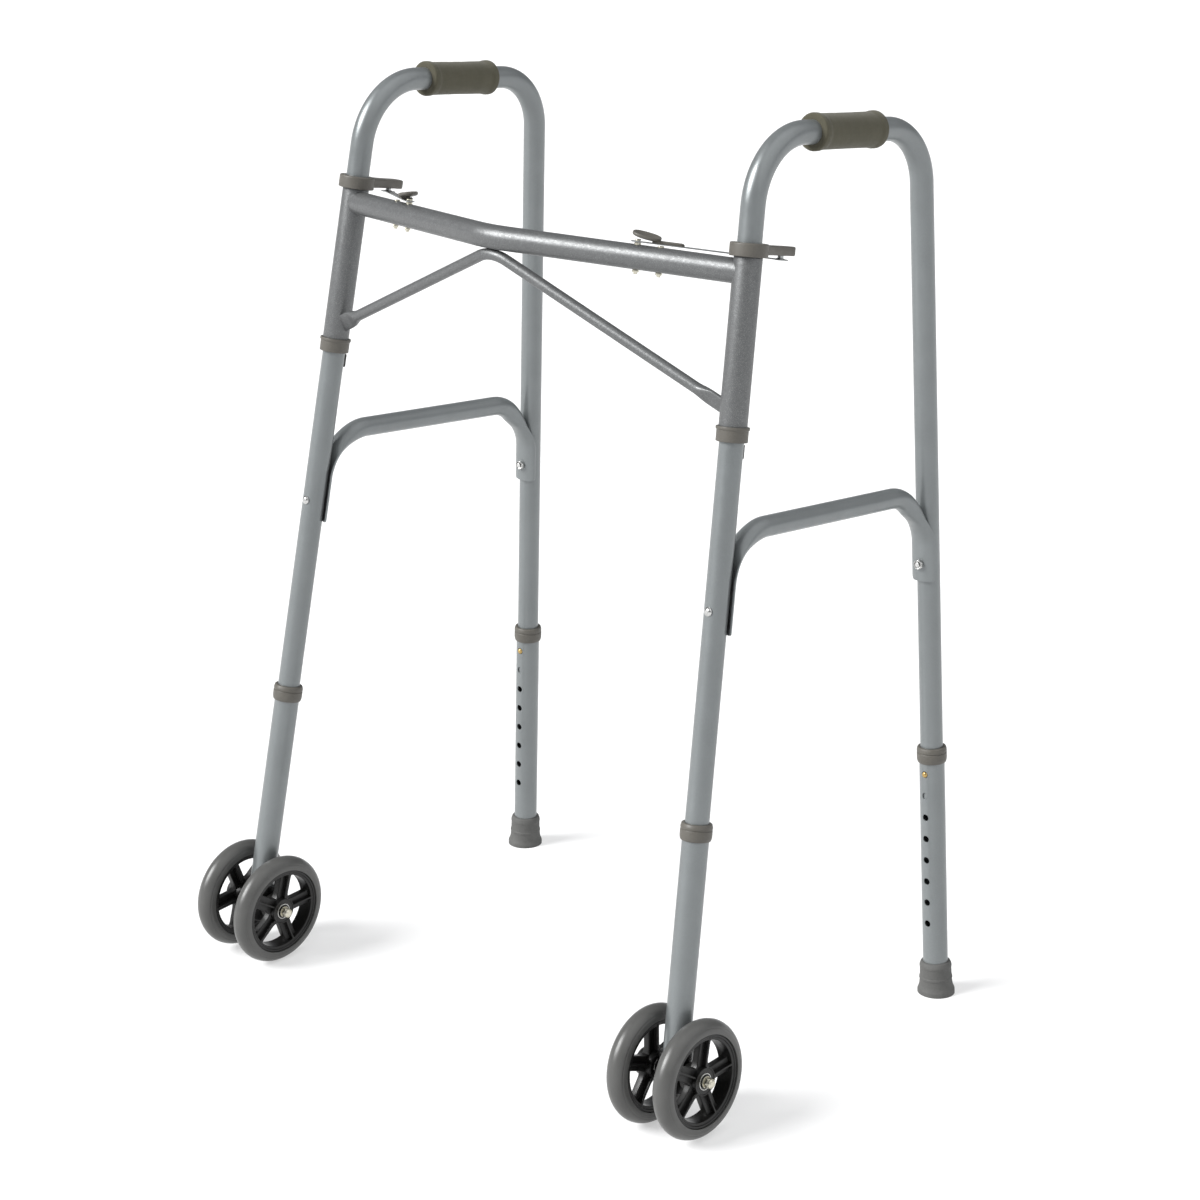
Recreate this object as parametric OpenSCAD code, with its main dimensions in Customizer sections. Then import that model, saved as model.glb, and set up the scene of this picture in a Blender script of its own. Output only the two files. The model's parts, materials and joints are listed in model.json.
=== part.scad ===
// Folding walking frame with dual front wheels, in millimetres.
// The origin is on the floor under the middle of the frame. +Z is up, +Y points
// towards the user and +X to the user's left. Each side is drawn once, for the
// left, and mirrored for the right.

/* [Stance] */
// Half the distance between the side frames, at the floor
foot_spread = 323; // [305:1:340]
// Inward tilt of each side frame, in degrees
splay = 2.7; // [2.2:0.1:3.2]
// Distance from the wheel axle to the rear tip's centre, at the floor
wheelbase = 446; // [430:1:460]
// Rearward lean of the front legs, in degrees
front_lean = 10; // [9:0.5:11]
// Forward lean of the rear legs, in degrees
rear_lean = 1.2; // [0.8:0.1:1.6]

/* [Handle] */
// Height of the corner between the front leg and the handle, along the side frame
handle_height = 1000; // [990:1:1015]
// Fall of the handle towards the user, in degrees
handle_fall = 5.2; // [4:0.1:6]
// Bend radius at the front of the handle
front_bend = 76; // [70:1:80]
// Bend radius at the rear of the handle
rear_bend = 64; // [58:1:68]
// Length of the foam grip
grip_length = 102; // [96:1:110]
// Radius of the foam grip
grip_r = 19; // [18:0.1:19.5]

/* [Tubes] */
// Outer radius of the side frame's tube
tube_r = 12.5; // [12.4:0.1:12.6]
// Wall thickness of the tubes
wall = 1.4; // [1.2:0.1:1.6]
// Outer radius of the leg extensions
extension_r = 14; // [13.9:0.1:14.3]
// Outer radius of the sleeves that the side frames fold in
sleeve_r = 14.5; // [14.3:0.1:14.8]
// Outer radius of the side brace
side_brace_r = 11; // [10.5:0.1:11.5]
// Outer radius of the crossbar
crossbar_r = 12.7; // [12.2:0.1:13]
// Outer radius of the front brace
front_brace_r = 6; // [5.5:0.1:6.5]

/* [Front frame] */
// Distance from the axle up the front leg to the crossbar
crossbar_at = 815; // [810:1:820]
// How far the crossbar's middle stands forward of its ends
crossbar_bow = 70; // [66:1:74]
// How far the crossbar's middle stands above its ends
crossbar_lift = 8.6; // [7:0.1:10]
// Distance from the axle up the front leg to the front brace
front_brace_at = 676; // [672:1:690]

/* [Wheels] */
// Radius of a wheel
wheel_r = 63.5; // [62:0.5:65]
// Half the thickness of a tyre
tyre_half = 12; // [11:0.5:12]
// Distance from the leg to the middle of each wheel
wheel_offset = 31.25; // [31.25:0.25:33]
// Number of spokes
spokes = 5; // [4:1:6]

/* [Height setting] */
// Distance between two setting holes
pitch = 25.4; // [25:0.1:25.8]
// Number of setting holes in each leg extension
settings = 8; // [6:1:8]
// Radius of a snap button
button_r = 3.5; // [3.2:0.1:3.6]

/* [Hidden] */
left = 1;
right = -1;
$fn = 96;
running = 0.1;       // radial clearance of a tube that slides or turns on another
bore_over = 1;       // how far a cutting solid runs past the face it opens
seam_half = 0.2;     // half the length of the fine ring between a straight and a bend
seam_gap = 0.05;     // the straight stops this short of the bend, inside that ring
seam_proud = 0.02;   // how far that ring stands proud of the tube
blend_lap = 1;       // how far a flattened end's blend reaches into its neighbours
blend_inset = 0.8;   // how far inside their surfaces it stays there

tube_grey = [0.66, 0.70, 0.73];
hammer_grey = [0.43, 0.44, 0.44];
collar_grey = [0.40, 0.39, 0.36];
foam_grey = [0.36, 0.35, 0.30];
rubber_grey = [0.42, 0.42, 0.42];
black = [0.10, 0.10, 0.10];
zinc = [0.80, 0.78, 0.70];
brass = [0.72, 0.58, 0.30];
spring_steel = [0.62, 0.63, 0.62];

// Footprint
tip_r = 21;
depth = wheel_r + wheelbase + tip_r;
axle_y = wheel_r - depth / 2;
rear_y = axle_y + wheelbase;
// The inner wheels touch the floor, so the axle's height follows from the splay
axle_z = wheel_offset * sin(splay) + (wheel_r - tyre_half) * cos(splay) + tyre_half;
axle_w = axle_z / cos(splay);

// Side tube: its corners in the side frame, and the runs between its bends
front_corner = [axle_y + tan(front_lean) * (handle_height - axle_w), handle_height];
rear_corner_y = (rear_y - tan(rear_lean) * (handle_height + tan(handle_fall) * front_corner.x))
    / (1 - tan(handle_fall) * tan(rear_lean));
rear_corner = [rear_corner_y, (rear_y - rear_corner_y) / tan(rear_lean)];
front_turn = 90 - front_lean + handle_fall;
rear_turn = 90 - rear_lean - handle_fall;
front_tangent = front_bend * tan(front_turn / 2);
rear_tangent = rear_bend * tan(rear_turn / 2);
handle_run = norm(rear_corner - front_corner) - front_tangent - rear_tangent;
grip_start = (handle_run - grip_length) / 2 - 4;   // a little forward of the middle

// Heights along the legs: from the axle on the front leg, from the floor on the rear
front_button_at = 230.5;
rear_button_at = 265;
inner_end_drop = 37.7;                       // from the button to the inner tube's end
collar_top_rise = 30.3;                      // from the button to the collar's top
collar_height = 18;
extension_rise = collar_top_rise - 4;        // the extension ends inside its collar
front_run_start = front_button_at - inner_end_drop;
rear_run_end = rear_button_at - inner_end_drop;
front_run = (handle_height - axle_w) / cos(front_lean) - front_tangent - front_run_start;
rear_run = rear_corner.y / cos(rear_lean) - rear_tangent - rear_run_end;

// Side brace: one straight, two bends, two flattened tails bolted to the legs
brace_fall = 4.15;
brace_bend = 45;
brace_height = 617.4;                        // of its line, extended to the axle's Y
brace_gap = tube_r + side_brace_r + 0.4;     // between its axis and a leg's
tail_thick = 3;
tail_bow = 6.5;                              // how far behind the leg's axis its arc is centred
tail_spread = 50;                            // half the arc that a tail covers, in degrees
front_tail = [453.5, 489.5];                 // lower and upper end, along the front leg
rear_tail = [488.5, 524.5];                  // lower and upper end, along the rear leg
front_bolt_at = 477.5;
rear_bolt_at = 508;
bolt_r = 3;
front_tail_corner = let(t = tan(front_lean), k = tan(brace_fall),
    dy = (t * (brace_height - axle_w) + brace_gap / cos(front_lean)) / (1 + t * k))
    [axle_y + dy, brace_height - k * dy];
rear_tail_corner = let(t = tan(rear_lean), k = tan(brace_fall),
    dy = (wheelbase - t * brace_height - brace_gap / cos(rear_lean)) / (1 - t * k))
    [axle_y + dy, brace_height - k * dy];
brace_front_turn = 90 - front_lean + brace_fall;
brace_rear_turn = 90 - rear_lean - brace_fall;
brace_front_tangent = brace_bend * tan(brace_front_turn / 2);
brace_rear_tangent = brace_bend * tan(brace_rear_turn / 2);
brace_run = norm(rear_tail_corner - front_tail_corner) - brace_front_tangent - brace_rear_tangent;
front_tail_top = (front_tail_corner.y - axle_w) / cos(front_lean)
    + brace_gap * tan(front_lean) - brace_front_tangent;
rear_tail_top = rear_tail_corner.y / cos(rear_lean)
    + brace_gap * tan(rear_lean) - brace_rear_tangent;

// Points of the front leg, as the left side has them
function from_side(p) = [foot_spread + p.x * cos(splay) - p.z * sin(splay),
    p.y, p.x * sin(splay) + p.z * cos(splay)];
function from_front_leg(p) = from_side([p.x,
    axle_y + p.z * sin(front_lean) + p.y * cos(front_lean),
    axle_w + p.z * cos(front_lean) - p.y * sin(front_lean)]);

// Crossbar and front brace: the ends on the left sleeve's axis, and the middle
crossbar_bend = 90;
front_brace_bend = 45;
crossbar_end = from_front_leg([0, 0, crossbar_at]);
crossbar_rise = [0, -crossbar_bow, crossbar_lift];
front_brace_end = from_front_leg([0, 0, front_brace_at]);
front_brace_mid = [0, crossbar_end.y, crossbar_end.z] + crossbar_rise
    - [0, 0, crossbar_r + front_brace_r];
front_brace_rise = front_brace_mid - [0, front_brace_end.y, front_brace_end.z];
// Slope of a bar's straight halves, given its half span, its rise and its bend radius
function half_slope(span, rise, bend) =
    atan2(rise - bend, span) + asin(bend / norm([span, rise - bend]));
function half_length(span, rise, bend) = sqrt(span ^ 2 + (rise - bend) ^ 2 - bend ^ 2);
crossbar_slope = half_slope(crossbar_end.x, norm(crossbar_rise), crossbar_bend);
flat_length = 30;
flat_taper = 16;
flat_height = 19;
flat_thick = 5;

// Sleeve, its bush at the foot, and the collar above it, along the front leg
sleeve_bottom = 656;
sleeve_top = 830;
bush = [647.7, 663];
bush_r = 16.2;
bush_lip_r = 17.2;
latch_collar_span = [830.4, 844];
latch_collar_r = 19.5;
ear_span = [833, 842.3];
ear_reach = 59;                              // to the middle of the ear's round end
ear_end_r = 8.7;
stud_at = 50;
stud_r = 3;
stud_hole_r = 3.6;

// Latch: a spring strip from the crossbar to a stud under the collar's ear
latch_screws_at = [122, 96];                 // along the crossbar, from the sleeve's axis
latch_screw_r = 2;
strip_thick = 1;
strip_half = 5;
strip_roll = 8;
strip_over_bar = 2.8;
crossbar_dir = let(a = atan2(crossbar_rise.z, crossbar_rise.y))
    [-cos(crossbar_slope), sin(crossbar_slope) * cos(a), sin(crossbar_slope) * sin(a)];
crossbar_up = let(a = atan2(crossbar_rise.z, crossbar_rise.y)) [0, sin(a), -cos(a)];
strip_pivot = crossbar_end + latch_screws_at[0] * crossbar_dir
    + (crossbar_r + strip_over_bar) * crossbar_up;
strip_tip = from_front_leg([0, stud_at, ear_span[0] - 4.2]);
strip_line = strip_tip - strip_pivot;
strip_azimuth = atan2(strip_line.y, strip_line.x);
strip_rise = asin(strip_line.z / norm(strip_line));
pad_tilt = 9;                                // its inner end is raised
pad_roll = 6;                                // its front edge is lower

// Wheel and axle: distances along the axle from the middle of a wheel
hub_rim_r = wheel_r - 14;
function spoke_turn(side, hand) = side > 0 ? (hand > 0 ? 32 : -8) : (hand > 0 ? -3 : 4);
hub_boss_r = 15;
hub_outer = 10.5;
hub_inner = 11.5;
bearing_r = 9;
bearing_width = 7;
axle_r = 4;
axle_play = 0.05;
block_half = 19.4;
nut_gap = 0.4;
nut_at = wheel_offset + hub_outer + nut_gap;

// ---- Placing ----

module on_half(side) {
    mirror([side < 0 ? 1 : 0, 0, 0]) children();
}

// The side frame's plane: X outwards, Z up the tilted plane
module on_side(side) {
    on_half(side) translate([foot_spread, 0, 0]) rotate([0, -splay, 0]) children();
}

// The front leg's axis, from the wheel axle up
module on_front_leg(side, at = 0) {
    on_side(side) translate([0, axle_y, axle_w]) rotate([-front_lean, 0, 0])
        translate([0, 0, at]) children();
}

// The rear leg's axis, from the floor up
module on_rear_leg(side, at = 0) {
    on_side(side) translate([0, rear_y, 0]) rotate([rear_lean, 0, 0])
        translate([0, 0, at]) children();
}

// A wheel's middle, with Z along the axle, away from the leg; hand is 1 outside, -1 inside
module on_wheel(side, hand) {
    on_front_leg(side) rotate([0, 90 * hand, 0]) translate([0, 0, wheel_offset]) children();
}

// The crossbar's half, from the sleeve's axis: X along the bar, Z up
module on_crossbar(side) {
    on_half(side) translate([0, crossbar_end.y, crossbar_end.z])
        rotate([atan2(crossbar_rise.z, crossbar_rise.y), 0, 0])
        translate([crossbar_end.x, 0, 0]) rotate([0, 0, 180 - crossbar_slope])
        rotate([180, 0, 0]) children();
}

// The latch strip, from its inner screw: X along the strip towards the stud, Z up
module on_strip(side) {
    on_half(side) translate(strip_pivot) rotate([0, -strip_rise, strip_azimuth])
        rotate([-strip_roll, 0, 0]) children();
}

// ---- Basic shapes ----

// A straight tube along +Z
module pipe(length, r, bore) {
    difference() {
        cylinder(h = length, r = r);
        translate([0, 0, -bore_over]) cylinder(h = length + 2 * bore_over, r = bore);
    }
}

// A straight length of bent tube along +Z, with its children at its far end
module run(length, r, bore) {
    translate([0, 0, seam_gap]) pipe(length - 2 * seam_gap, r, bore);
    translate([0, 0, length]) children();
}

// A fine ring that joins a straight to a bend
module seam(r, bore) {
    translate([0, 0, -seam_half]) pipe(2 * seam_half, r + seam_proud, bore - seam_proud);
}

// A bend that starts along +Z and turns towards +Y, with its children at its far end
module bend(radius, angle, r, bore) {
    seam(r, bore);
    translate([0, radius, 0]) rotate([90, 0, -90]) rotate_extrude(angle = angle)
        translate([radius, 0]) difference() {
            circle(r = r);
            circle(r = bore);
        }
    translate([0, radius * (1 - cos(angle)), radius * sin(angle)]) rotate([-angle, 0, 0]) {
        seam(r, bore);
        children();
    }
}

// A cutting cylinder across a tube, along Y from the axis
module cross_hole(r, from, to) {
    translate([0, from, 0]) rotate([-90, 0, 0]) cylinder(h = to - from, r = r);
}

// A tube in the XY plane: a straight, a bend and a straight, rising along +Y
module bowed_bar(span, rise, bend_r, r, bore) {
    slope = half_slope(span, rise, bend_r);
    half = half_length(span, rise, bend_r);
    translate([span, 0, 0]) rotate([0, 0, 180 - slope]) rotate([0, 90, 0])
        run(half, r, bore) bend(bend_r, 2 * slope, r, bore) run(half, r, bore);
}

// The arc of a flattened tail behind a leg (towards +Y), a little flatter than the leg.
// It starts inside the leg's surface, which then cuts it.
module tail_profile() {
    reach = 40;
    translate([0, -tail_bow]) intersection() {
        difference() {
            circle(r = tube_r + tail_bow + tail_thick);
            circle(r = tube_r + tail_bow - 0.5);
        }
        polygon([[0, 0], [reach * sin(tail_spread), reach * cos(tail_spread)], [0, 60],
            [-reach * sin(tail_spread), reach * cos(tail_spread)]]);
    }
}

// ---- Front frame ----

module sleeves_cut(at) {
    for (side = [left, right])
        on_front_leg(side, at - 60) cylinder(h = 120, r = sleeve_r);
}

module crossbar() {
    color(hammer_grey) difference() {
        translate([0, crossbar_end.y, crossbar_end.z])
            rotate([atan2(crossbar_rise.z, crossbar_rise.y), 0, 0])
            bowed_bar(crossbar_end.x, norm(crossbar_rise), crossbar_bend,
                crossbar_r, crossbar_r - wall);
        sleeves_cut(crossbar_at);
        for (side = [left, right], at = latch_screws_at)
            on_crossbar(side) translate([at, 0, -crossbar_r - bore_over])
                cylinder(h = 2 * (crossbar_r + bore_over), r = latch_screw_r);
    }
}

// One flattened end of the front brace, along +X from the sleeve's axis
module brace_flat() {
    translate([0, -flat_height / 2, -flat_thick / 2])
        cube([flat_length, flat_height, flat_thick]);
    hull() {
        translate([flat_length - blend_lap, blend_inset - flat_height / 2,
            blend_inset - flat_thick / 2])
            cube([blend_lap, flat_height - 2 * blend_inset, flat_thick - 2 * blend_inset]);
        translate([flat_length + flat_taper, 0, 0]) rotate([0, 90, 0])
            linear_extrude(blend_lap) circle(r = front_brace_r - blend_inset, $fn = 32);
    }
}

module front_brace() {
    span = front_brace_end.x;
    rise = norm(front_brace_rise);
    slope = half_slope(span, rise, front_brace_bend);
    color(hammer_grey) difference() {
        translate([0, front_brace_end.y, front_brace_end.z])
            rotate([atan2(front_brace_rise.z, front_brace_rise.y), 0, 0]) {
            difference() {
                bowed_bar(span, rise, front_brace_bend, front_brace_r, front_brace_r - wall);
                for (hand = [left, right])
                    on_half(hand) translate([span, 0, 0]) rotate([0, 0, 180 - slope])
                        translate([-flat_length, -20, -20])
                        cube([2 * flat_length + flat_taper, 40, 40]);
            }
            for (hand = [left, right])
                on_half(hand) translate([span, 0, 0]) rotate([0, 0, 180 - slope]) brace_flat();
        }
        sleeves_cut(front_brace_at);
    }
}

module sleeve(side) {
    color(hammer_grey) on_front_leg(side, sleeve_bottom)
        pipe(sleeve_top - sleeve_bottom, sleeve_r, tube_r + running);
}

// A plastic cap around the sleeve's foot, with a lip at its top
module sleeve_bush(side) {
    height = bush[1] - bush[0];
    lip = 3.5;
    color(collar_grey) on_front_leg(side, bush[0]) rotate_extrude() polygon([
        [tube_r + running, 0], [bush_r - 1, 0], [bush_r, 1], [bush_r, height - lip],
        [bush_lip_r, height - lip + 1], [bush_lip_r, height - 1], [bush_lip_r - 1, height],
        [sleeve_r, height], [sleeve_r, sleeve_bottom - bush[0]],
        [tube_r + running, sleeve_bottom - bush[0]]]);
}

// Two screws a side through the crossbar: the inner one carries the latch strip
module latch_screws() {
    nut_h = 3;
    color(zinc) for (side = [left, right], i = [0, 1])
        on_crossbar(side) translate([latch_screws_at[i], 0, 0]) {
            top = i == 0 ? crossbar_r + strip_over_bar + 1.2 : crossbar_r;
            translate([0, 0, -crossbar_r - nut_h - 1.5])
                cylinder(h = top + crossbar_r + nut_h + 1.5, r = latch_screw_r);
            translate([0, 0, -crossbar_r - nut_h]) cylinder(h = nut_h, r = 4, $fn = 6);
            translate([0, 0, top]) cylinder(h = 1.4, r = 3.6);
            if (i == 0)
                translate([0, 0, crossbar_r]) cylinder(h = strip_over_bar - 0.9, r = 3.4);
        }
}

// ---- Side frame ----

module side_tube(side) {
    bore = tube_r - wall;
    hole_r = button_r + 0.15;
    bolt_reach = tube_r + bore_over;
    color(tube_grey) difference() {
        on_front_leg(side, front_run_start)
            run(front_run, tube_r, bore) bend(front_bend, front_turn, tube_r, bore)
            run(handle_run, tube_r, bore) bend(rear_bend, rear_turn, tube_r, bore)
            run(rear_run, tube_r, bore);
        on_front_leg(side, front_button_at) cross_hole(hole_r, 0, bolt_reach);
        on_rear_leg(side, rear_button_at) cross_hole(hole_r, -bolt_reach, 0);
        on_front_leg(side, front_bolt_at) cross_hole(bolt_r, -bolt_reach, bolt_reach);
        on_rear_leg(side, rear_bolt_at) cross_hole(bolt_r, -bolt_reach, bolt_reach);
    }
}

// The taper from the round tube's full depth to a tail's thickness, seen from the side
module tail_slope(low, top) {
    outer = brace_gap + side_brace_r + 1;
    polygon([[tube_r - 1, low], [tube_r + tail_thick - blend_inset, low],
        [outer, top - 2], [outer, top + 5], [tube_r - 1, top + 5]]);
}

// A tail: the round tube flattens against the leg, then covers a part of its arc
module brace_tail(span, top) {
    difference() {
        union() {
            translate([0, 0, span[0]]) linear_extrude(span[1] - span[0]) tail_profile();
            intersection() {
                translate([0, brace_gap, span[1] - 2])
                    cylinder(h = top + blend_lap - span[1] + 2, r1 = side_brace_r + 7,
                        r2 = side_brace_r - blend_inset);
                rotate([90, 0, 90]) translate([0, 0, -20]) linear_extrude(40)
                    tail_slope(span[1] - 2, top);
            }
        }
        translate([0, 0, span[0] - bore_over])
            cylinder(h = top - span[0] + 10, r = tube_r);
    }
}

module side_brace(side) {
    r = side_brace_r;
    bore = side_brace_r - wall;
    color(tube_grey) difference() {
        union() {
            on_side(side) translate([0, front_tail_corner.x, front_tail_corner.y])
                rotate([-front_lean, 0, 0]) translate([0, 0, -brace_front_tangent])
                bend(brace_bend, brace_front_turn, r, bore) run(brace_run, r, bore)
                bend(brace_bend, brace_rear_turn, r, bore);
            on_front_leg(side) brace_tail(front_tail, front_tail_top);
            on_rear_leg(side) mirror([0, 1, 0]) brace_tail(rear_tail, rear_tail_top);
        }
        on_front_leg(side, front_bolt_at) cross_hole(bolt_r, 0, 40);
        on_rear_leg(side, rear_bolt_at) cross_hole(bolt_r, -40, 0);
    }
}

// Foam grip with a raised ring at each end, on the handle's straight
module grip(side) {
    ring = 4;
    ring_rise = 0.5;
    color(foam_grey) on_side(side) translate([0, front_corner.x, front_corner.y])
        rotate([-90 - handle_fall, 0, 0]) translate([0, 0, front_tangent + grip_start])
        rotate_extrude() {
            translate([tube_r, 0]) square([grip_r - tube_r, grip_length]);
            translate([tube_r, 0]) square([grip_r + ring_rise - tube_r, 2 * ring]);
            translate([tube_r, grip_length - 2 * ring])
                square([grip_r + ring_rise - tube_r, 2 * ring]);
        }
}

// Collar above the sleeve, with an ear behind it that takes the latch's stud
module latch_collar(side) {
    height = latch_collar_span[1] - latch_collar_span[0];
    ear_low = ear_span[0] - latch_collar_span[0];
    ear_h = ear_span[1] - ear_span[0];
    color(collar_grey) on_front_leg(side, latch_collar_span[0]) difference() {
        union() {
            cylinder(h = height, r = latch_collar_r);
            translate([0, ear_reach, ear_low]) cylinder(h = ear_h, r = ear_end_r);
            translate([0, 0, ear_low]) linear_extrude(ear_h) polygon([[-15, 0], [-ear_end_r, 34],
                [-ear_end_r, ear_reach], [ear_end_r, ear_reach], [ear_end_r, 34], [15, 0]]);
        }
        translate([0, 0, -bore_over]) cylinder(h = height + 2 * bore_over, r = tube_r);
        translate([0, stud_at, -bore_over]) cylinder(h = 9.5, r = stud_hole_r);
    }
}

// Small stop behind the leg, under the sleeve's bush
module leg_stop(side) {
    color(black) on_front_leg(side, 630) difference() {
        translate([-4, 0, 0]) cube([8, tube_r + 5, 15]);
        translate([0, 0, -bore_over]) cylinder(h = 15 + 2 * bore_over, r = tube_r);
    }
}

// A bolt across a leg: low domed head in front, hexagon nut behind
module brace_bolt(head_r, head_at, nut_at) {
    head_h = 2.8;
    nut_h = 4.2;
    dome_r = (head_r ^ 2 + head_h ^ 2) / (2 * head_h);
    rotate([-90, 0, 0]) {
        translate([0, 0, -head_at]) cylinder(h = head_at + nut_at + nut_h + 1.3, r = bolt_r);
        translate([0, 0, -head_at]) intersection() {
            translate([0, 0, dome_r - head_h]) sphere(r = dome_r);
            translate([0, 0, -head_h]) cylinder(h = head_h, r = head_r);
        }
        translate([0, 0, nut_at]) cylinder(h = nut_h, r = 5.4, $fn = 6);
    }
}

// Each head is on the leg and each nut on the brace's tail
module brace_bolts(side) {
    color(zinc) {
        on_front_leg(side, front_bolt_at) brace_bolt(4.8, tube_r, tube_r + tail_thick);
        on_rear_leg(side, rear_bolt_at) mirror([0, 1, 0])
            brace_bolt(4.8, tube_r, tube_r + tail_thick);
    }
}

// A folded leaf spring inside the inner tube, behind a snap button at the +Y wall
module snap_spring() {
    leaf = 0.7;
    translate([-3, 0, 0]) rotate([90, 0, 90]) linear_extrude(6) polygon([
        [7.3, 6], [8, 6], [8, -6], [-1, -30], [-2.2, -30], [-9.4, 4], [-9.4 + leaf, 4],
        [-2.2 + leaf, -27], [-1.8 + leaf, -27], [7.3, -6]]);
}

module snap_springs(side) {
    color(spring_steel) {
        on_front_leg(side, front_button_at) snap_spring();
        on_rear_leg(side, rear_button_at) mirror([0, 1, 0]) snap_spring();
    }
}

// A round-ended button with a flange behind the tube's wall
module snap_button() {
    dome = 1.6;
    color(brass) rotate([-90, 0, 0]) {
        translate([0, 0, 8.1]) cylinder(h = 1.3, r = 5);
        translate([0, 0, 8.1]) cylinder(h = extension_r - 8.1, r = button_r);
        translate([0, 0, extension_r]) intersection() {
            translate([0, 0, dome - 5]) sphere(r = 5);
            cylinder(h = dome + 1, r = button_r);
        }
    }
}

module front_button(side) {
    on_front_leg(side, front_button_at) snap_button();
}

module rear_button(side) {
    on_rear_leg(side, rear_button_at) mirror([0, 1, 0]) snap_button();
}

// ---- Latch ----

module latch_strip(side) {
    length = norm(strip_line);
    color(spring_steel) on_strip(side) {
        difference() {
            translate([0, 0, -strip_thick / 2]) linear_extrude(strip_thick) union() {
                translate([-7, -strip_half]) square([length + 7, 2 * strip_half]);
                translate([length, 0]) circle(r = 8);
            }
            translate([0, 0, -5]) cylinder(h = 10, r = 2.6);
        }
        translate([length, 0, strip_thick / 2]) cylinder(h = 7.4, r = stud_r);
    }
}

// A thumb pad with a raised inner end, and a tongue that lies on the strip
module latch_pad(side) {
    pad_half = 10.5;
    pad_middle = 9;
    tongue_end = 47;
    low = strip_thick / 2;
    color(collar_grey) on_strip(side) {
        translate([15, -4.2, low]) cube([tongue_end - 15, 8.4, 3.6]);
        translate([23, 0, low + 1.6]) rotate([pad_roll, 0, 0]) rotate([0, pad_tilt, 0])
            translate([-pad_half - pad_middle, 0, 0]) linear_extrude(4.2) union() {
            translate([pad_middle, 0]) circle(r = pad_half);
            circle(r = pad_half);
            translate([0, -pad_half]) square([pad_middle, 2 * pad_half]);
        }
    }
}

// ---- Front leg extension, axle and wheels ----

module front_extension(side) {
    bottom = -14;
    top = front_button_at + extension_rise;
    color(tube_grey) on_front_leg(side) difference() {
        translate([0, 0, bottom]) pipe(top - bottom, extension_r, tube_r + running);
        for (i = [0 : settings - 1])
            translate([0, 0, front_button_at - i * pitch])
                cross_hole(button_r + 0.3, 0, extension_r + bore_over);
        translate([-20, 0, 0]) rotate([0, 90, 0]) cylinder(h = 40, r = axle_r + 0.1);
    }
}

// A barrel-shaped collar around an extension's upper end, with a fine groove
module extension_collar() {
    end_r = extension_r + 1.6;
    mid_r = extension_r + 2.6;
    h = collar_height;
    translate([0, 0, collar_top_rise - h]) rotate_extrude() polygon([
        [extension_r, 0], [end_r, 0], [mid_r, 3.5], [mid_r, 11], [mid_r - 0.7, 11.3],
        [mid_r - 0.7, 12.2], [mid_r, 12.5], [mid_r, 14.5], [end_r, h],
        [tube_r + running, h], [tube_r + running, h - 4], [extension_r, h - 4]]);
}

module front_collar(side) {
    color(collar_grey) on_front_leg(side, front_button_at) extension_collar();
}

module rear_collar(side) {
    color(collar_grey) on_rear_leg(side, rear_button_at) extension_collar();
}

// Plastic block around the extension's foot, with a boss towards each wheel
module axle_block(side) {
    block_r = 17;
    color(black) on_front_leg(side) difference() {
        union() {
            translate([0, 0, -20]) cylinder(h = 41, r = block_r);
            translate([-block_half, 0, 0]) rotate([0, 90, 0])
                cylinder(h = 2 * block_half, r = 10);
        }
        translate([0, 0, -14]) cylinder(h = 60, r = extension_r);
        translate([-30, 0, 0]) rotate([0, 90, 0]) cylinder(h = 60, r = axle_r);
    }
}

module axle(side) {
    reach = nut_at + 9.5;
    color(zinc) on_front_leg(side) translate([-reach + 4, 0, 0]) rotate([0, 90, 0])
        cylinder(h = 2 * reach - 4, r = axle_r);
}

// A hexagon nut and washer outside, and the axle's hexagon head inside
module axle_nuts(side) {
    color(zinc) on_front_leg(side) for (hand = [1, -1])
        rotate([0, 90 * hand, 0]) translate([0, 0, nut_at]) difference() {
            union() {
                cylinder(h = 1.2, r = 7);
                cylinder(h = hand > 0 ? 8 : 5.5, r = 6.6, $fn = 6);
            }
            translate([0, 0, -bore_over]) cylinder(h = 12, r = axle_r);
        }
}

module tyre(side, hand) {
    color(rubber_grey) on_wheel(side, hand) rotate_extrude() difference() {
        translate([wheel_r - tyre_half, 0]) circle(r = tyre_half);
        translate([0, -tyre_half - 1]) square([hub_rim_r, 2 * tyre_half + 2]);
    }
}

// Rim, boss and spokes with a rib down the middle of each
module hub(side, hand) {
    rim_thick = 6;
    rim_half = 10.6;
    spoke_half = 8;
    web_half = 4;
    rib_half = 1.2;
    color(black) on_wheel(side, hand) difference() {
        union() {
            translate([0, 0, -rim_half]) pipe(2 * rim_half, hub_rim_r, hub_rim_r - rim_thick);
            translate([0, 0, -hub_inner]) cylinder(h = hub_inner + hub_outer, r = hub_boss_r);
            for (i = [0 : spokes - 1]) rotate([0, 0, spoke_turn(side, hand) + i * 360 / spokes]) {
                translate([0, -spoke_half, -web_half])
                    cube([hub_rim_r - 1, 2 * spoke_half, 2 * web_half]);
                translate([0, -rib_half, -rim_half + 1])
                    cube([hub_rim_r - 1, 2 * rib_half, 2 * rim_half - 2]);
            }
        }
        translate([0, 0, -20]) cylinder(h = 40, r = axle_r + 2);
        translate([0, 0, hub_outer - bearing_width]) cylinder(h = 20, r = bearing_r);
        translate([0, 0, -hub_inner - bore_over])
            cylinder(h = bearing_width + bore_over, r = bearing_r);
    }
}

// Two ring bearings in the boss, one at each face
module bearings(side, hand) {
    color(zinc) on_wheel(side, hand) {
        translate([0, 0, hub_outer - bearing_width])
            pipe(bearing_width, bearing_r, axle_r + axle_play);
        translate([0, 0, -hub_inner]) pipe(bearing_width, bearing_r, axle_r + axle_play);
    }
}

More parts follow.
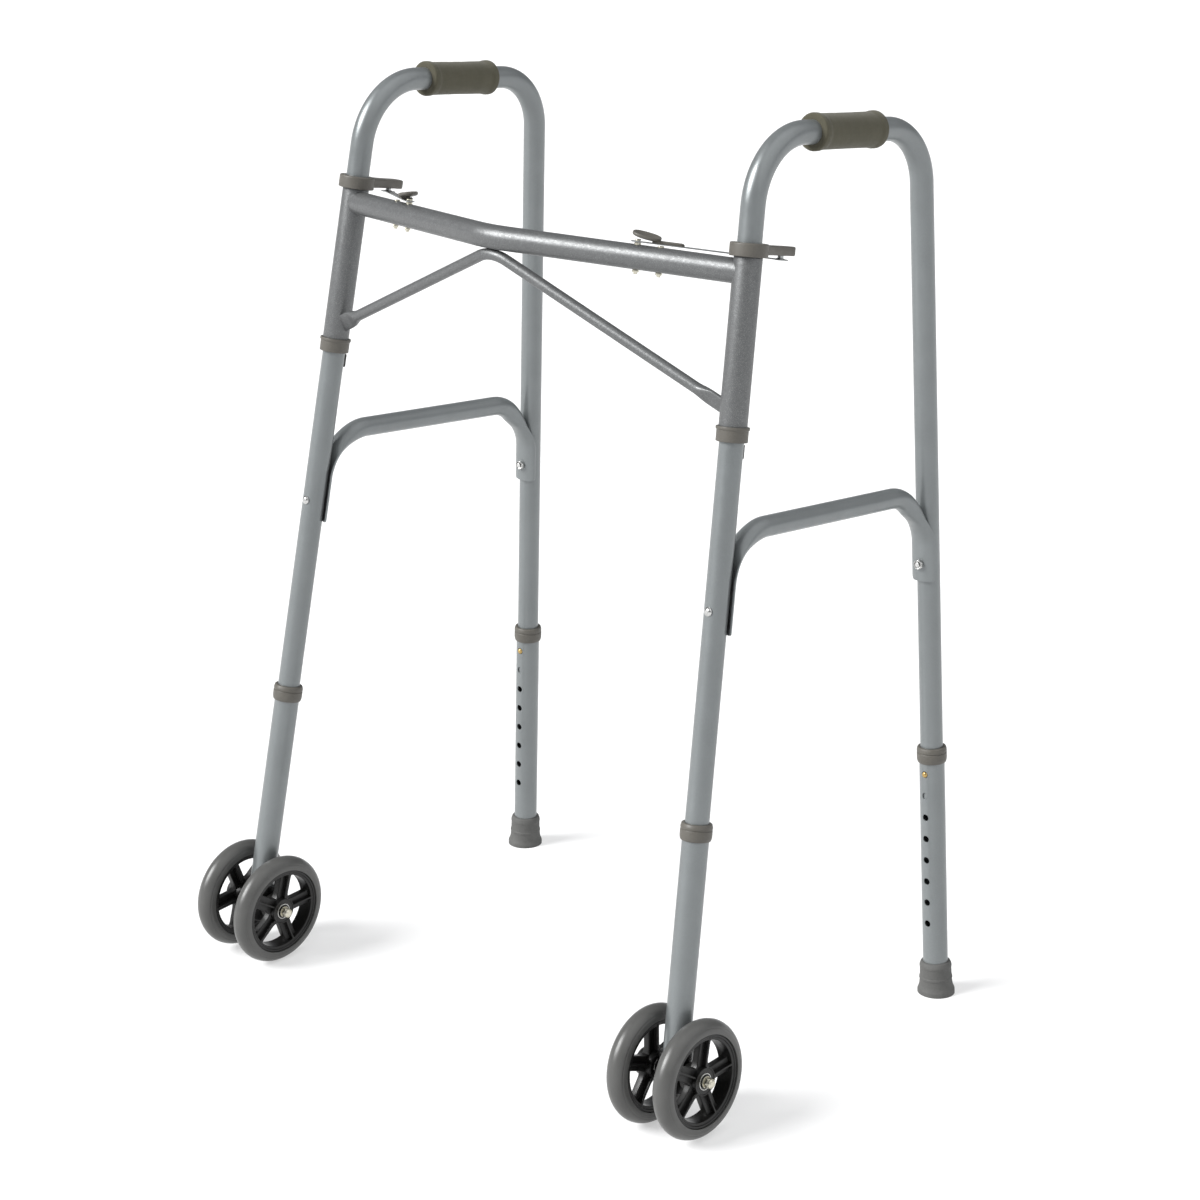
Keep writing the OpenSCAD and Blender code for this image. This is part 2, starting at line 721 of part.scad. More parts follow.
// ---- Rear leg extension ----

module rear_extension(side) {
    bottom = 8;
    top = rear_button_at + extension_rise;
    color(tube_grey) on_rear_leg(side) difference() {
        translate([0, 0, bottom]) pipe(top - bottom, extension_r, tube_r + running);
        for (i = [0 : settings - 1])
            translate([0, 0, rear_button_at - i * pitch])
                cross_hole(button_r + 0.3, -extension_r - bore_over, 0);
    }
}

// Flared rubber tip, cut level at the floor
module rear_tip(side) {
    color(rubber_grey) difference() {
        on_rear_leg(side) rotate_extrude() polygon([
            [0, -4], [tip_r, -4], [tip_r, 5], [tip_r - 0.8, 7], [tip_r - 2.2, 10],
            [tip_r - 3, 20], [tip_r - 3.4, 34], [tip_r - 4.4, 38], [extension_r, 39],
            [extension_r, 8], [0, 8]]);
        translate([-500, -500, -50]) cube([1000, 1000, 50]);
    }
}

crossbar();
front_brace();
sleeve(left);  // sleeve_left
sleeve(right);  // sleeve_right
sleeve_bush(left);  // sleeve_bush_left
sleeve_bush(right);  // sleeve_bush_right
latch_screws();
side_tube(left);  // side_tube_left
side_tube(right);  // side_tube_right
side_brace(left);  // side_brace_left
side_brace(right);  // side_brace_right
grip(left);  // grip_left
grip(right);  // grip_right
latch_collar(left);  // latch_collar_left
latch_collar(right);  // latch_collar_right
leg_stop(left);  // leg_stop_left
leg_stop(right);  // leg_stop_right
brace_bolts(left);  // brace_bolts_left
brace_bolts(right);  // brace_bolts_right
snap_springs(left);  // snap_springs_left
snap_springs(right);  // snap_springs_right
latch_strip(left);  // latch_strip_left
latch_strip(right);  // latch_strip_right
latch_pad(left);  // latch_pad_left
latch_pad(right);  // latch_pad_right
front_extension(left);  // front_extension_left
front_extension(right);  // front_extension_right
front_collar(left);  // front_collar_left
front_collar(right);  // front_collar_right
axle_block(left);  // axle_block_left
axle_block(right);  // axle_block_right
axle(left);  // axle_left
axle(right);  // axle_right
axle_nuts(left);  // axle_nuts_left
axle_nuts(right);  // axle_nuts_right
rear_extension(left);  // rear_extension_left
rear_extension(right);  // rear_extension_right
rear_collar(left);  // rear_collar_left
rear_collar(right);  // rear_collar_right
rear_tip(left);  // rear_tip_left
rear_tip(right);  // rear_tip_right
front_button(left);  // front_button_left
front_button(right);  // front_button_right
rear_button(left);  // rear_button_left
rear_button(right);  // rear_button_right
tyre(left, -1);  // tyre_inner_left
tyre(left, 1);  // tyre_outer_left
tyre(right, -1);  // tyre_inner_right
tyre(right, 1);  // tyre_outer_right
hub(left, -1);  // hub_inner_left
hub(left, 1);  // hub_outer_left
hub(right, -1);  // hub_inner_right
hub(right, 1);  // hub_outer_right
bearings(left, -1);  // bearings_inner_left
bearings(left, 1);  // bearings_outer_left
bearings(right, -1);  // bearings_inner_right
bearings(right, 1);  // bearings_outer_right
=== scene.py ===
import json
import math

import bmesh
import bpy
import numpy as np
from mathutils import Matrix, Vector, noise

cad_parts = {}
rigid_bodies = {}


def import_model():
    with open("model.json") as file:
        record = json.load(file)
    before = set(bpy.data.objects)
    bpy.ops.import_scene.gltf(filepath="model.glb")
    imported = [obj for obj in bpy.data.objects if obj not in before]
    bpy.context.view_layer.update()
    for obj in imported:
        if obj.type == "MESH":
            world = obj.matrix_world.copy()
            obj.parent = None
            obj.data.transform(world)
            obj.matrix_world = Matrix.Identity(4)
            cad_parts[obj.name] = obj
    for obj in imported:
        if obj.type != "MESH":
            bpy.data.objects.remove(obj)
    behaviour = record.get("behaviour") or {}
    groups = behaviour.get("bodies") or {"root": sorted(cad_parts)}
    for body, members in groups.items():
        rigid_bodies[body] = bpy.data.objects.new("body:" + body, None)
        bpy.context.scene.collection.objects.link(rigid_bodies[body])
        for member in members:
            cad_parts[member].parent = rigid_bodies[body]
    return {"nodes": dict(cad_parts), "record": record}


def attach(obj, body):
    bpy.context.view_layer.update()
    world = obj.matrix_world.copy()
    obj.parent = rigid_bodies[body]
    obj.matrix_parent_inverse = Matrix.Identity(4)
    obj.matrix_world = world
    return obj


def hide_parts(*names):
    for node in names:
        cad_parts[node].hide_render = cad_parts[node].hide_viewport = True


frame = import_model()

for left_over in [o for o in bpy.data.objects if o.name in ("Cube", "Light", "Camera")]:
    bpy.data.objects.remove(left_over)
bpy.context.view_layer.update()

# ---- The object's sizes, in millimetres and degrees, as the CAD model has them ----

MM = 0.001
LEFT, RIGHT = 1, -1
NAMES = {LEFT: "left", RIGHT: "right"}

FOOT_SPREAD = 323
SPLAY = 2.7
FRONT_LEAN = 10
REAR_LEAN = 1.2
WHEEL_R = 63.5
WHEELBASE = 446
TIP_R = 21
REAR_Y = WHEELBASE + WHEEL_R - (WHEEL_R + WHEELBASE + TIP_R) / 2
AXLE_Y = REAR_Y - WHEELBASE
WHEEL_OFFSET = 31.25
TYRE_HALF = 12

HANDLE_HEIGHT = 1000
HANDLE_FALL = 5.2
FRONT_BEND = 76
REAR_BEND = 64
GRIP_LENGTH = 102
GRIP_R = 19

TUBE_R = 12.5
WALL = 1.4
EXTENSION_R = 14
SLEEVE_R = 14.5
SIDE_BRACE_R = 11
CROSSBAR_R = 12.7
FRONT_BRACE_R = 6
RUNNING = 0.1
SEAT_DEPTH = 0.7

CROSSBAR_AT = 815
CROSSBAR_BEND = 90
FRONT_BRACE_AT = 676
FRONT_BRACE_BEND = 45
FLAT_LENGTH = 30
FLAT_TAPER = 16
SLEEVE = (656, 830)
BUSH = (647.7, 663)
STOP_AT = 630
COLLAR = (830.4, 844)
COLLAR_R = 19.5
EAR = (833, 842.3)
EAR_R = 8.7
EAR_END = 59
STUD_BEHIND = 50
SCREWS_AT = (122, 96)
STRIP_OVER_BAR = 2.8
PAD_LENGTH = 30
PAD_AT = 23
PAD_TILT = 9
PAD_ROLL = 9
TONGUE_END = 47

PITCH = 25.4
SETTINGS = 8
HOLE_R = 3.8
PATCH_HALF = 6.2
PATCH_STEPS = 8
FRONT_BUTTON = 230.5
REAR_BUTTON = 265
LEG_BELOW_BUTTON = 37.7
COLLAR_TOP = 30.3
COLLAR_HEIGHT = 18

BRACE_FALL = 4.15
BRACE_BEND = 45
BRACE_HEIGHT = 617.4
BRACE_GAP = TUBE_R + SIDE_BRACE_R + 0.4
TAIL_THICK = 3
TAIL_BOW = 6.5
TAIL_SPREAD = 50
FRONT_FLATTENING = (505, 560)
REAR_FLATTENING = (530, 578)
FRONT_TAIL = (453.5, 489.5)
REAR_TAIL = (488.5, 524.5)
FRONT_BOLT = 477.5
REAR_BOLT = 508
BOLT_HEAD_R = 4.8

HUB_OUTER = 10.5
HUB_INNER = 11.5
RIM_R = WHEEL_R - 14
NUT_AT = WHEEL_OFFSET + HUB_OUTER + 0.4
BEARING_R = 9
BEARING_WIDTH = 7
SPOKE_TURN = {("outer", 1): 32, ("inner", 1): -8, ("outer", -1): -3, ("inner", -1): 4}


def sin(degrees):
    return math.sin(math.radians(degrees))


def cos(degrees):
    return math.cos(math.radians(degrees))


def tan(degrees):
    return math.tan(math.radians(degrees))


AXLE_W = (WHEEL_OFFSET * sin(SPLAY) + (WHEEL_R - TYRE_HALF) * cos(SPLAY) + TYRE_HALF) / cos(SPLAY)
FRONT_CORNER = (AXLE_Y + tan(FRONT_LEAN) * (HANDLE_HEIGHT - AXLE_W), HANDLE_HEIGHT)
REAR_CORNER_Y = (REAR_Y - tan(REAR_LEAN) * (HANDLE_HEIGHT + tan(HANDLE_FALL) * FRONT_CORNER[0])) \
    / (1 - tan(HANDLE_FALL) * tan(REAR_LEAN))
REAR_CORNER = (REAR_CORNER_Y, (REAR_Y - REAR_CORNER_Y) / tan(REAR_LEAN))
FRONT_TANGENT = FRONT_BEND * tan((90 - FRONT_LEAN + HANDLE_FALL) / 2)
REAR_TANGENT = REAR_BEND * tan((90 - REAR_LEAN - HANDLE_FALL) / 2)
HANDLE_RUN = math.dist(FRONT_CORNER, REAR_CORNER) - FRONT_TANGENT - REAR_TANGENT
GRIP_START = (HANDLE_RUN - GRIP_LENGTH) / 2 - 4


# ---- Placing: local millimetres to row metres ----

def move(x, y, z):
    return Matrix.Translation((x, y, z))


def turn(axis, degrees):
    return Matrix.Rotation(math.radians(degrees), 4, axis)


def on_half(side):
    return Matrix.Diagonal((MM * side, MM, MM, 1))


def on_side(side):
    return on_half(side) @ move(FOOT_SPREAD, 0, 0) @ turn("Y", -SPLAY)


def on_front_leg(side, at=0):
    return on_side(side) @ move(0, AXLE_Y, AXLE_W) @ turn("X", -FRONT_LEAN) @ move(0, 0, at)


def on_rear_leg(side, at=0):
    return on_side(side) @ move(0, REAR_Y, 0) @ turn("X", REAR_LEAN) @ move(0, 0, at)


def on_wheel(side, hand):
    return on_front_leg(side) @ turn("Y", 90 * hand) @ move(0, 0, WHEEL_OFFSET)


def leg_point(at):
    """A point on the left front leg's axis, in millimetres."""
    return np.array(on_front_leg(LEFT, at).translation) / MM


CROSSBAR_END = leg_point(CROSSBAR_AT)
CROSSBAR_RISE = np.array((0, -70, 8.6))
BRACE_END = leg_point(FRONT_BRACE_AT)
BRACE_MID = np.array((0, CROSSBAR_END[1], CROSSBAR_END[2])) + CROSSBAR_RISE \
    - np.array((0, 0, CROSSBAR_R + FRONT_BRACE_R))
BRACE_RISE = BRACE_MID - np.array((0, BRACE_END[1], BRACE_END[2]))


def in_bar_plane(end, rise):
    """The plane that a bowed bar lies in, in millimetres: X across, Y along its rise."""
    lean = math.degrees(math.atan2(rise[2], rise[1]))
    return move(0, end[1], end[2]) @ turn("X", lean)


def bar_plane(end, rise):
    return on_half(LEFT) @ in_bar_plane(end, rise)


def bar_slope(end, rise, bend):
    """The slope of each half of a bowed bar, up to its middle bend."""
    height = np.linalg.norm(rise) - bend
    tangent = math.asin(bend / math.hypot(end[0], height))
    return math.degrees(math.atan2(height, end[0]) + tangent)


CROSSBAR_SLOPE = bar_slope(CROSSBAR_END, CROSSBAR_RISE, CROSSBAR_BEND)


def on_crossbar(side):
    """From the sleeve's axis: X along the bar, Z up."""
    return on_half(side) @ in_bar_plane(CROSSBAR_END, CROSSBAR_RISE) \
        @ move(CROSSBAR_END[0], 0, 0) @ turn("Z", 180 - CROSSBAR_SLOPE) @ turn("X", 180)


def on_strip(side):
    """From the latch strip's screw: X towards the stud, Z up; and the strip's length."""
    to_mm = Matrix.Diagonal((1 / MM, 1 / MM, 1 / MM, 1))
    pivot = to_mm @ on_crossbar(LEFT) @ Vector((SCREWS_AT[0], 0, CROSSBAR_R + STRIP_OVER_BAR))
    tip = to_mm @ on_front_leg(LEFT) @ Vector((0, STUD_BEHIND, EAR[0] - 4.2))
    line = tip - pivot
    azimuth = math.degrees(math.atan2(line.y, line.x))
    rise = math.degrees(math.asin(line.z / line.length))
    place = on_half(side) @ move(*pivot) @ turn("Z", azimuth) @ turn("Y", -rise) @ turn("X", -8)
    return place, line.length


# ---- Shells: a list of points and a list of faces, in local millimetres ----

def skin(rings, loop=False, caps=True):
    """A surface over rings of equal count, outwards when they turn about their own advance."""
    rings = np.asarray(rings, float)
    rows, cols = rings.shape[:2]
    faces = []
    for i in range(rows if loop else rows - 1):
        k = (i + 1) % rows
        for j in range(cols):
            m = (j + 1) % cols
            faces.append((i * cols + j, i * cols + m, k * cols + m, k * cols + j))
    if caps and not loop:
        faces.append(tuple(range(cols - 1, -1, -1)))
        faces.append(tuple(range((rows - 1) * cols, rows * cols)))
    return rings.reshape(-1, 3), faces


def joined(*shells):
    points, faces, base = [], [], 0
    for verts, polygons in shells:
        points.append(np.asarray(verts, float))
        faces += [tuple(v + base for v in f) for f in polygons]
        base += len(verts)
    return np.vstack(points), faces


def moved(shell, place):
    m = np.array(place)
    return shell[0] @ m[:3, :3].T + m[:3, 3], shell[1]


def facing_out(shell, side):
    """A shell that is already placed: on the right, mirrored, its faces turn back out."""
    return shell[0], [f[::-1] for f in shell[1]] if side == RIGHT else shell[1]


def angles(count):
    return np.arange(count) * 2 * math.pi / count


def level_ring(r, a, z):
    """Points at radius r and angles a, all at height z."""
    return np.stack((r * np.cos(a), r * np.sin(a), np.full(len(a), z)), 1)


def rounded(points, radius, steps=4, closed=True):
    """A polygon with its corners rounded; radius is one number or one for each corner."""
    points = [np.array(p, float) for p in points]
    count = len(points)
    radii = radius if hasattr(radius, "__len__") else [radius] * count
    out = []
    for i, p in enumerate(points):
        if not closed and i in (0, count - 1) or radii[i] <= 0:
            out.append(p)
            continue
        a = points[i - 1] - p
        b = points[(i + 1) % count] - p
        la, lb = np.linalg.norm(a), np.linalg.norm(b)
        reach = min(radii[i], 0.49 * la, 0.49 * lb)
        first, last = p + a / la * reach, p + b / lb * reach
        for k in range(steps + 1):
            t = k / steps
            out.append(first * (1 - t) ** 2 + p * 2 * t * (1 - t) + last * t ** 2)
    return out


def lathe(profile, count=64, closed=True):
    """Turned about Z; the profile is (radius, height), upwards on its outer side."""
    a = angles(count)
    return skin([level_ring(r, a, z) for r, z in profile], loop=closed, caps=False)


def turned(corners, radii, steps, count, closed=True):
    """A lathe shell from a profile's corners and their roundings."""
    return lathe(rounded(corners, radii, steps, closed), count, closed)


def ring_shell(r, bore, low, high, edge=0.3, count=64):
    return turned([(bore, low), (r, low), (r, high), (bore, high)], edge, 3, count)


def rod_shell(r, low, high, edge=0.3, count=48):
    return turned([(0, low), (r, low), (r, high), (0, high)], edge, 3, count, closed=False)


def hexagon(corner_r, limit, height):
    a = angles(72)
    spoke = (a + math.pi / 6) % (math.pi / 3) - math.pi / 6
    return level_ring(np.minimum(corner_r * cos(30) / np.cos(spoke), limit), a, height)


def nut_shell(corner_r, height, bore, sink=0.5):
    """A hexagon nut with chamfered corners and a bore that is wider at its mouth."""
    flat = corner_r * cos(30)
    levels = [(flat * 0.97, 0), (flat * 1.03, 0.25), (corner_r, 0.9), (corner_r, height - 0.9),
              (flat * 1.03, height - 0.25), (flat * 0.97, height)]
    rings = [hexagon(corner_r, limit, z) for limit, z in levels]
    inner = [(bore + sink, height), (bore + sink - 0.1, height - 1.6 * sink),
             (bore, height - 1.6 * sink - 0.3), (bore, 0.5), (bore + 0.5, 0)]
    rings += [level_ring(r, angles(72), z) for r, z in inner]
    return skin(rings, loop=True)


def inset(outline, distance):
    """A closed outline moved inwards; it runs counter-clockwise."""
    p = np.asarray(outline, float)
    d = np.roll(p, -1, 0) - np.roll(p, 1, 0)
    d /= np.linalg.norm(d, axis=1)[:, None]
    return p + np.stack((-d[:, 1], d[:, 0]), 1) * distance


def plate_shell(outline, low, high, edge=0.4):
    """An outline extruded along Z with soft edges."""
    levels = [(low, edge), (low + 0.3 * edge, 0.3 * edge), (low + edge, 0), (high - edge, 0),
              (high - 0.3 * edge, 0.3 * edge), (high, edge)]
    return skin([np.column_stack((inset(outline, step), np.full(len(outline), z)))
                 for z, step in levels])


def arc(centre, radius, start, end, count):
    a = np.radians(np.linspace(start, end, count))
    return [(centre[0] + radius * math.cos(t), centre[1] + radius * math.sin(t)) for t in a]


def block_shell(low, high, radius):
    """A box with rounded edges between two corners."""
    box = bmesh.new()
    bmesh.ops.create_cube(box, size=1)
    low, high = np.array(low, float), np.array(high, float)
    for v in box.verts:
        v.co = Vector((low + high) / 2 + np.array(v.co) * (high - low))
    bmesh.ops.bevel(box, geom=box.edges[:], offset=radius, segments=3, profile=0.5,
                    affect="EDGES", clamp_overlap=True)
    box.verts.index_update()
    points = np.array([v.co for v in box.verts])
    faces = [tuple(v.index for v in f.verts) for f in box.faces]
    box.free()
    return points, faces


# ---- Sweeps along planar paths ----

def fillet_path(points, radii, step=3.0):
    """Points and tangents along a planar polyline with rounded corners."""
    points = [np.array(p, float) for p in points]
    start = points[1] - points[0]
    stations = [(points[0], start / np.linalg.norm(start))]
    for i, radius in enumerate(radii):
        before = points[i + 1] - points[i]
        after = points[i + 2] - points[i + 1]
        before /= np.linalg.norm(before)
        after /= np.linalg.norm(after)
        bend = math.acos(max(-1, min(1, before @ after)))
        way = math.copysign(1, before[0] * after[1] - before[1] * after[0])
        first = points[i + 1] - before * radius * math.tan(bend / 2)
        centre = first + way * radius * np.array((-before[1], before[0]))
        count = max(2, math.ceil(math.degrees(bend) / step))
        for k in range(count + 1):
            t = way * bend * k / count
            spin = np.array(((math.cos(t), -math.sin(t)), (math.sin(t), math.cos(t))))
            stations.append((centre + spin @ (first - centre), spin @ before))
    stations.append((points[-1], after))
    return stations


def divided(stations, gap, fine, reach):
    """Stations at most gap apart, and at most fine apart within reach of either end."""
    out = [stations[0]]
    total = sum(math.dist(a[0], b[0]) for a, b in zip(stations, stations[1:]))
    done = 0
    for (p, t), (q, u) in zip(stations, stations[1:]):
        length = math.dist(p, q)
        at = 0
        while length - at > 1e-6:
            near_end = done + at < reach or total - done - at <= reach + gap
            at = min(length, at + (fine if near_end else gap))
            if length - at < 0.3 * fine:
                at = length
            out.append((p + (q - p) * at / length, u if at == length else t))
        done += length
    return out


def sweep(stations, section, first_axis, second_axis):
    """Rings along a planar path; section(distance, total) gives a ring's own (u, v)."""
    e1, e2 = np.array(first_axis, float), np.array(second_axis, float)
    across = np.cross(e1, e2)
    lengths = [0]
    for (p, _), (q, _) in zip(stations, stations[1:]):
        lengths.append(lengths[-1] + math.dist(p, q))
    rings = []
    for (p, t), at in zip(stations, lengths):
        tangent = e1 * t[0] + e2 * t[1]
        up = np.cross(tangent, across)
        uv = section(at, lengths[-1])
        rings.append(e1 * p[0] + e2 * p[1] + uv[:, :1] * across + uv[:, 1:] * up)
    return rings


def circle(r):
    a = angles(64)
    return np.stack((r * np.cos(a), r * np.sin(a)), 1)


def smooth(t):
    t = min(1.0, max(0.0, t))
    return t * t * (3 - 2 * t)


# ---- Looks: every material is procedural, on object coordinates ----

def set_inputs(node, **values):
    """Set a node's inputs, or link them to another node's socket; _ stands for a space."""
    for key, value in values.items():
        socket = node.inputs[key.replace("_", " ")]
        if isinstance(value, bpy.types.NodeSocket):
            node.id_data.links.new(value, socket)
        elif value is not None:
            socket.default_value = value


class Nodes:
    """A short hand for building one material's nodes."""

    def __init__(self, name, **sockets):
        self.material = bpy.data.materials.new(name)
        self.material.use_nodes = True
        self.tree = self.material.node_tree
        self.shader = self.tree.nodes["Principled BSDF"]
        self.place = self.tree.nodes.new("ShaderNodeTexCoord").outputs["Object"]
        set_inputs(self.shader, **sockets)

    def node(self, kind, **values):
        node = self.tree.nodes.new(f"ShaderNode{kind}")
        set_inputs(node, **values)
        return node

    def noise(self, scale, detail=4, rough=0.55, stretch=None):
        place = self.place
        if stretch:
            place = self.node("Mapping", Vector=place, Scale=stretch).outputs["Vector"]
        node = self.node("TexNoise", Vector=place, Scale=scale, Detail=detail, Roughness=rough)
        return node.outputs["Fac"]

    def cells(self, scale, feature="F1"):
        node = self.node("TexVoronoi", Vector=self.place, Scale=scale)
        node.feature = feature
        return node.outputs["Distance"]

    def ramp(self, source, stops):
        node = self.node("ValToRGB", Fac=source)
        for element, (at, colour) in zip(node.color_ramp.elements, stops):
            element.position = at
            element.color = (*colour, 1)
        return node.outputs["Color"]

    def spread(self, source, low, high):
        """Low where the noise is 0.3 or less, high where it's 0.7 or more."""
        node = self.node("MapRange", Value=source, From_Min=0.3, From_Max=0.7, To_Min=low,
                         To_Max=high)
        return node.outputs["Result"]

    def blended(self, amount, first, second):
        node = self.node("Mix")
        node.data_type = "RGBA"
        set_inputs(node, Factor=amount, A=first, B=second)
        return node.outputs["Result"]

    def bump(self, height, strength, distance, after=None):
        node = self.node("Bump", Height=height, Strength=strength, Distance=distance,
                         Normal=after)
        return node.outputs["Normal"]

    def finish(self, colour, roughness, normal=None):
        set_inputs(self.shader, Base_Color=colour, Roughness=roughness, Normal=normal)
        return self.material


def shade(colour, factor):
    return tuple(min(1.0, c * factor) for c in colour)


TUBE = (0.173, 0.186, 0.189)
HAMMER = (0.112, 0.115, 0.116)
COLLAR_COLOUR = (0.08, 0.074, 0.063)
FOAM = (0.066, 0.062, 0.043)
RUBBER = (0.082, 0.082, 0.079)
BLACK = (0.0052, 0.005, 0.0047)
ZINC_COLOUR = (0.6, 0.58, 0.5)
BRASS_COLOUR = (0.52, 0.36, 0.14)
STEEL_COLOUR = (0.42, 0.43, 0.43)


def tube_look():
    """Satin grey metallic paint with a fine grain, faint mottling and handling marks."""
    n = Nodes("satin_tube", Metallic=0.5, Specular_IOR_Level=0.5, Coat_Weight=0.12,
              Coat_Roughness=0.3)
    mottle = n.ramp(n.noise(22, 5), [(0.3, shade(TUBE, 0.92)), (0.7, shade(TUBE, 1.08))])
    grain = n.ramp(n.noise(2600, 2), [(0.35, shade(TUBE, 0.8)), (0.65, shade(TUBE, 1.3))])
    colour = n.blended(n.spread(n.noise(400, 3), 0.25, 0.6), mottle, grain)
    rough = n.spread(n.noise(60, 6, 0.65), 0.3, 0.42)
    grainy = n.bump(n.noise(1800, 2), 0.12, 0.0002)
    marks = n.bump(n.noise(90, 8, 0.7, stretch=(1, 1, 6)), 0.05, 0.0004, grainy)
    return n.finish(colour, rough, marks)


def hammer_look():
    """Hammered dark metallic paint: dimples of a few millimetres and bright flecks."""
    n = Nodes("hammered_frame", Metallic=0.6, Specular_IOR_Level=0.5, Coat_Weight=0.15,
              Coat_Roughness=0.35)
    mottle = n.ramp(n.noise(140, 4), [(0.3, shade(HAMMER, 0.9)), (0.7, shade(HAMMER, 1.1))])
    flecks = n.ramp(n.noise(1500, 2), [(0.5, shade(HAMMER, 0.9)), (0.72, shade(HAMMER, 3.0))])
    colour = n.blended(n.spread(n.noise(700, 3), 0.2, 0.7), mottle, flecks)
    rough = n.spread(n.noise(300, 4), 0.38, 0.52)
    dimples = n.bump(n.cells(330, "SMOOTH_F1"), 0.25, 0.0005)
    fine = n.bump(n.noise(1300, 3), 0.25, 0.0002, dimples)
    return n.finish(colour, rough, fine)


def plastic_look(name, colour, low, high, grain, strength, speck=1.25, **sockets):
    """Moulded plastic or rubber with a fine texture, faint streaks and scuffs."""
    n = Nodes(name, **sockets)
    tone = n.ramp(n.noise(45, 6, 0.6), [(0.3, shade(colour, 0.9)), (0.7, shade(colour, 1.1))])
    dust = n.ramp(n.noise(900, 3), [(0.4, shade(colour, 2 - speck)), (0.75, shade(colour, speck))])
    mixed = n.blended(n.spread(n.noise(160, 5), 0.1, 0.6), tone, dust)
    rough = n.spread(n.noise(120, 5, 0.6), low, high)
    texture = n.bump(n.noise(grain, 3), strength, 0.00025)
    flow = n.bump(n.noise(70, 3, 0.5), 0.06, 0.0008, texture)
    return n.finish(mixed, rough, flow)


def foam_look():
    """Closed-cell foam: fine open pores with painted shade darkening their insides, soft sheen and
    pressed, paler patches.
    """
    n = Nodes("grip_foam", Sheen_Weight=0.12, Sheen_Roughness=0.5, Specular_IOR_Level=0.2)
    base = n.ramp(n.noise(38, 6, 0.65), [(0.25, shade(FOAM, 0.84)), (0.75, shade(FOAM, 1.2))])
    pores = n.cells(1500)
    # Painted shade: the colour darkens towards each pore's middle, where the bump below sinks it.
    dark = n.ramp(pores, [(0.05, shade(FOAM, 0.4)), (0.35, shade(FOAM, 1.12))])
    colour = n.blended(n.spread(n.noise(260, 4), 0.3, 0.75), base, dark)
    rough = n.spread(n.noise(150, 4), 0.82, 0.97)
    pitted = n.bump(pores, 0.5, 0.0003)
    waves = n.bump(n.noise(110, 5, 0.6), 0.25, 0.0008, pitted)
    return n.finish(colour, rough, waves)


def metal_look(name, colour, low, high, lines=(1, 1, 1), tint=None):
    """Bare or plated metal with fine working marks, clouding and small dark spots."""
    n = Nodes(name, Metallic=1.0)
    other = tint or shade(colour, 0.72)
    cloud = n.ramp(n.noise(160, 6, 0.6), [(0.32, other), (0.68, colour)])
    spots = n.ramp(n.noise(600, 4), [(0.3, shade(colour, 0.45)), (0.5, colour)])
    mixed = n.blended(n.spread(n.noise(90, 3), 0.15, 0.6), cloud, spots)
    rough = n.spread(n.noise(420, 5, 0.6, stretch=lines), low, high)
    marks = n.bump(n.noise(1100, 4, 0.6, stretch=lines), 0.12, 0.0002)
    return n.finish(mixed, rough, marks)


LOOKS = {
    "side_tube": tube_look(),
    "front_frame": hammer_look(),
    "collar_plastic": plastic_look("collar_plastic", COLLAR_COLOUR, 0.42, 0.58, 1400, 0.18),
    "grip_foam": foam_look(),
    "tip_rubber": plastic_look("tip_rubber", RUBBER, 0.6, 0.8, 1000, 0.25,
                               Specular_IOR_Level=0.35),
    "tyre_rubber": plastic_look("tyre_rubber", shade(RUBBER, 0.86), 0.3, 0.38, 800, 0.05,
                                speck=1.06, Specular_IOR_Level=0.4),
    "hub_plastic": plastic_look("hub_plastic", BLACK, 0.3, 0.46, 1200, 0.22,
                                Specular_IOR_Level=0.36),
    "stop_plastic": plastic_look("stop_plastic", shade(BLACK, 1.6), 0.4, 0.6, 1200, 0.2),
    "zinc_steel": metal_look("zinc_steel", ZINC_COLOUR, 0.24, 0.42, tint=(0.52, 0.49, 0.38)),
    "bright_bolt": metal_look("bright_bolt", (0.62, 0.62, 0.61), 0.2, 0.36),
    "bearing_steel": metal_look("bearing_steel", (0.6, 0.6, 0.58), 0.2, 0.34),
    "brass_button": metal_look("brass_button", BRASS_COLOUR, 0.22, 0.4),
    "spring_steel": metal_look("spring_steel", STEEL_COLOUR, 0.3, 0.45, (1, 12, 1)),
}
LOOKS["leg_extension"] = LOOKS["side_tube"]


# ---- Making a piece ----

def piece(name, shell, place, body, slot, node, side=None, crease=38, look=None):
    """A mesh object from a shell in local millimetres, which rides on a body and stands for
    a CAD node. With a side, its own name, the body's and the node's all end in that side."""
    if side:
        name, body, node = (f"{part}_{NAMES[side]}" for part in (name, body, node))
    points, faces = moved(shell, place)
    mesh = bpy.data.meshes.new(name)
    mesh.from_pydata(points, [], faces)
    work = bmesh.new()
    work.from_mesh(mesh)
    bmesh.ops.remove_doubles(work, verts=work.verts[:], dist=2e-6)
    if np.linalg.det(np.array(place)[:3, :3]) < 0:
        bmesh.ops.reverse_faces(work, faces=work.faces[:])
    work.to_mesh(mesh)
    work.free()
    mesh.shade_smooth()
    mesh.set_sharp_from_angle(angle=math.radians(crease))
    mesh.materials.append(LOOKS[look or slot])
    obj = bpy.data.objects.new(name, mesh)
    bpy.context.scene.collection.objects.link(obj)
    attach(obj, body)
    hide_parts(node)
    return obj


# ---- Tubes of the side frames ----

SIDE_PLANE = (0, 1, 0), (0, 0, 1)


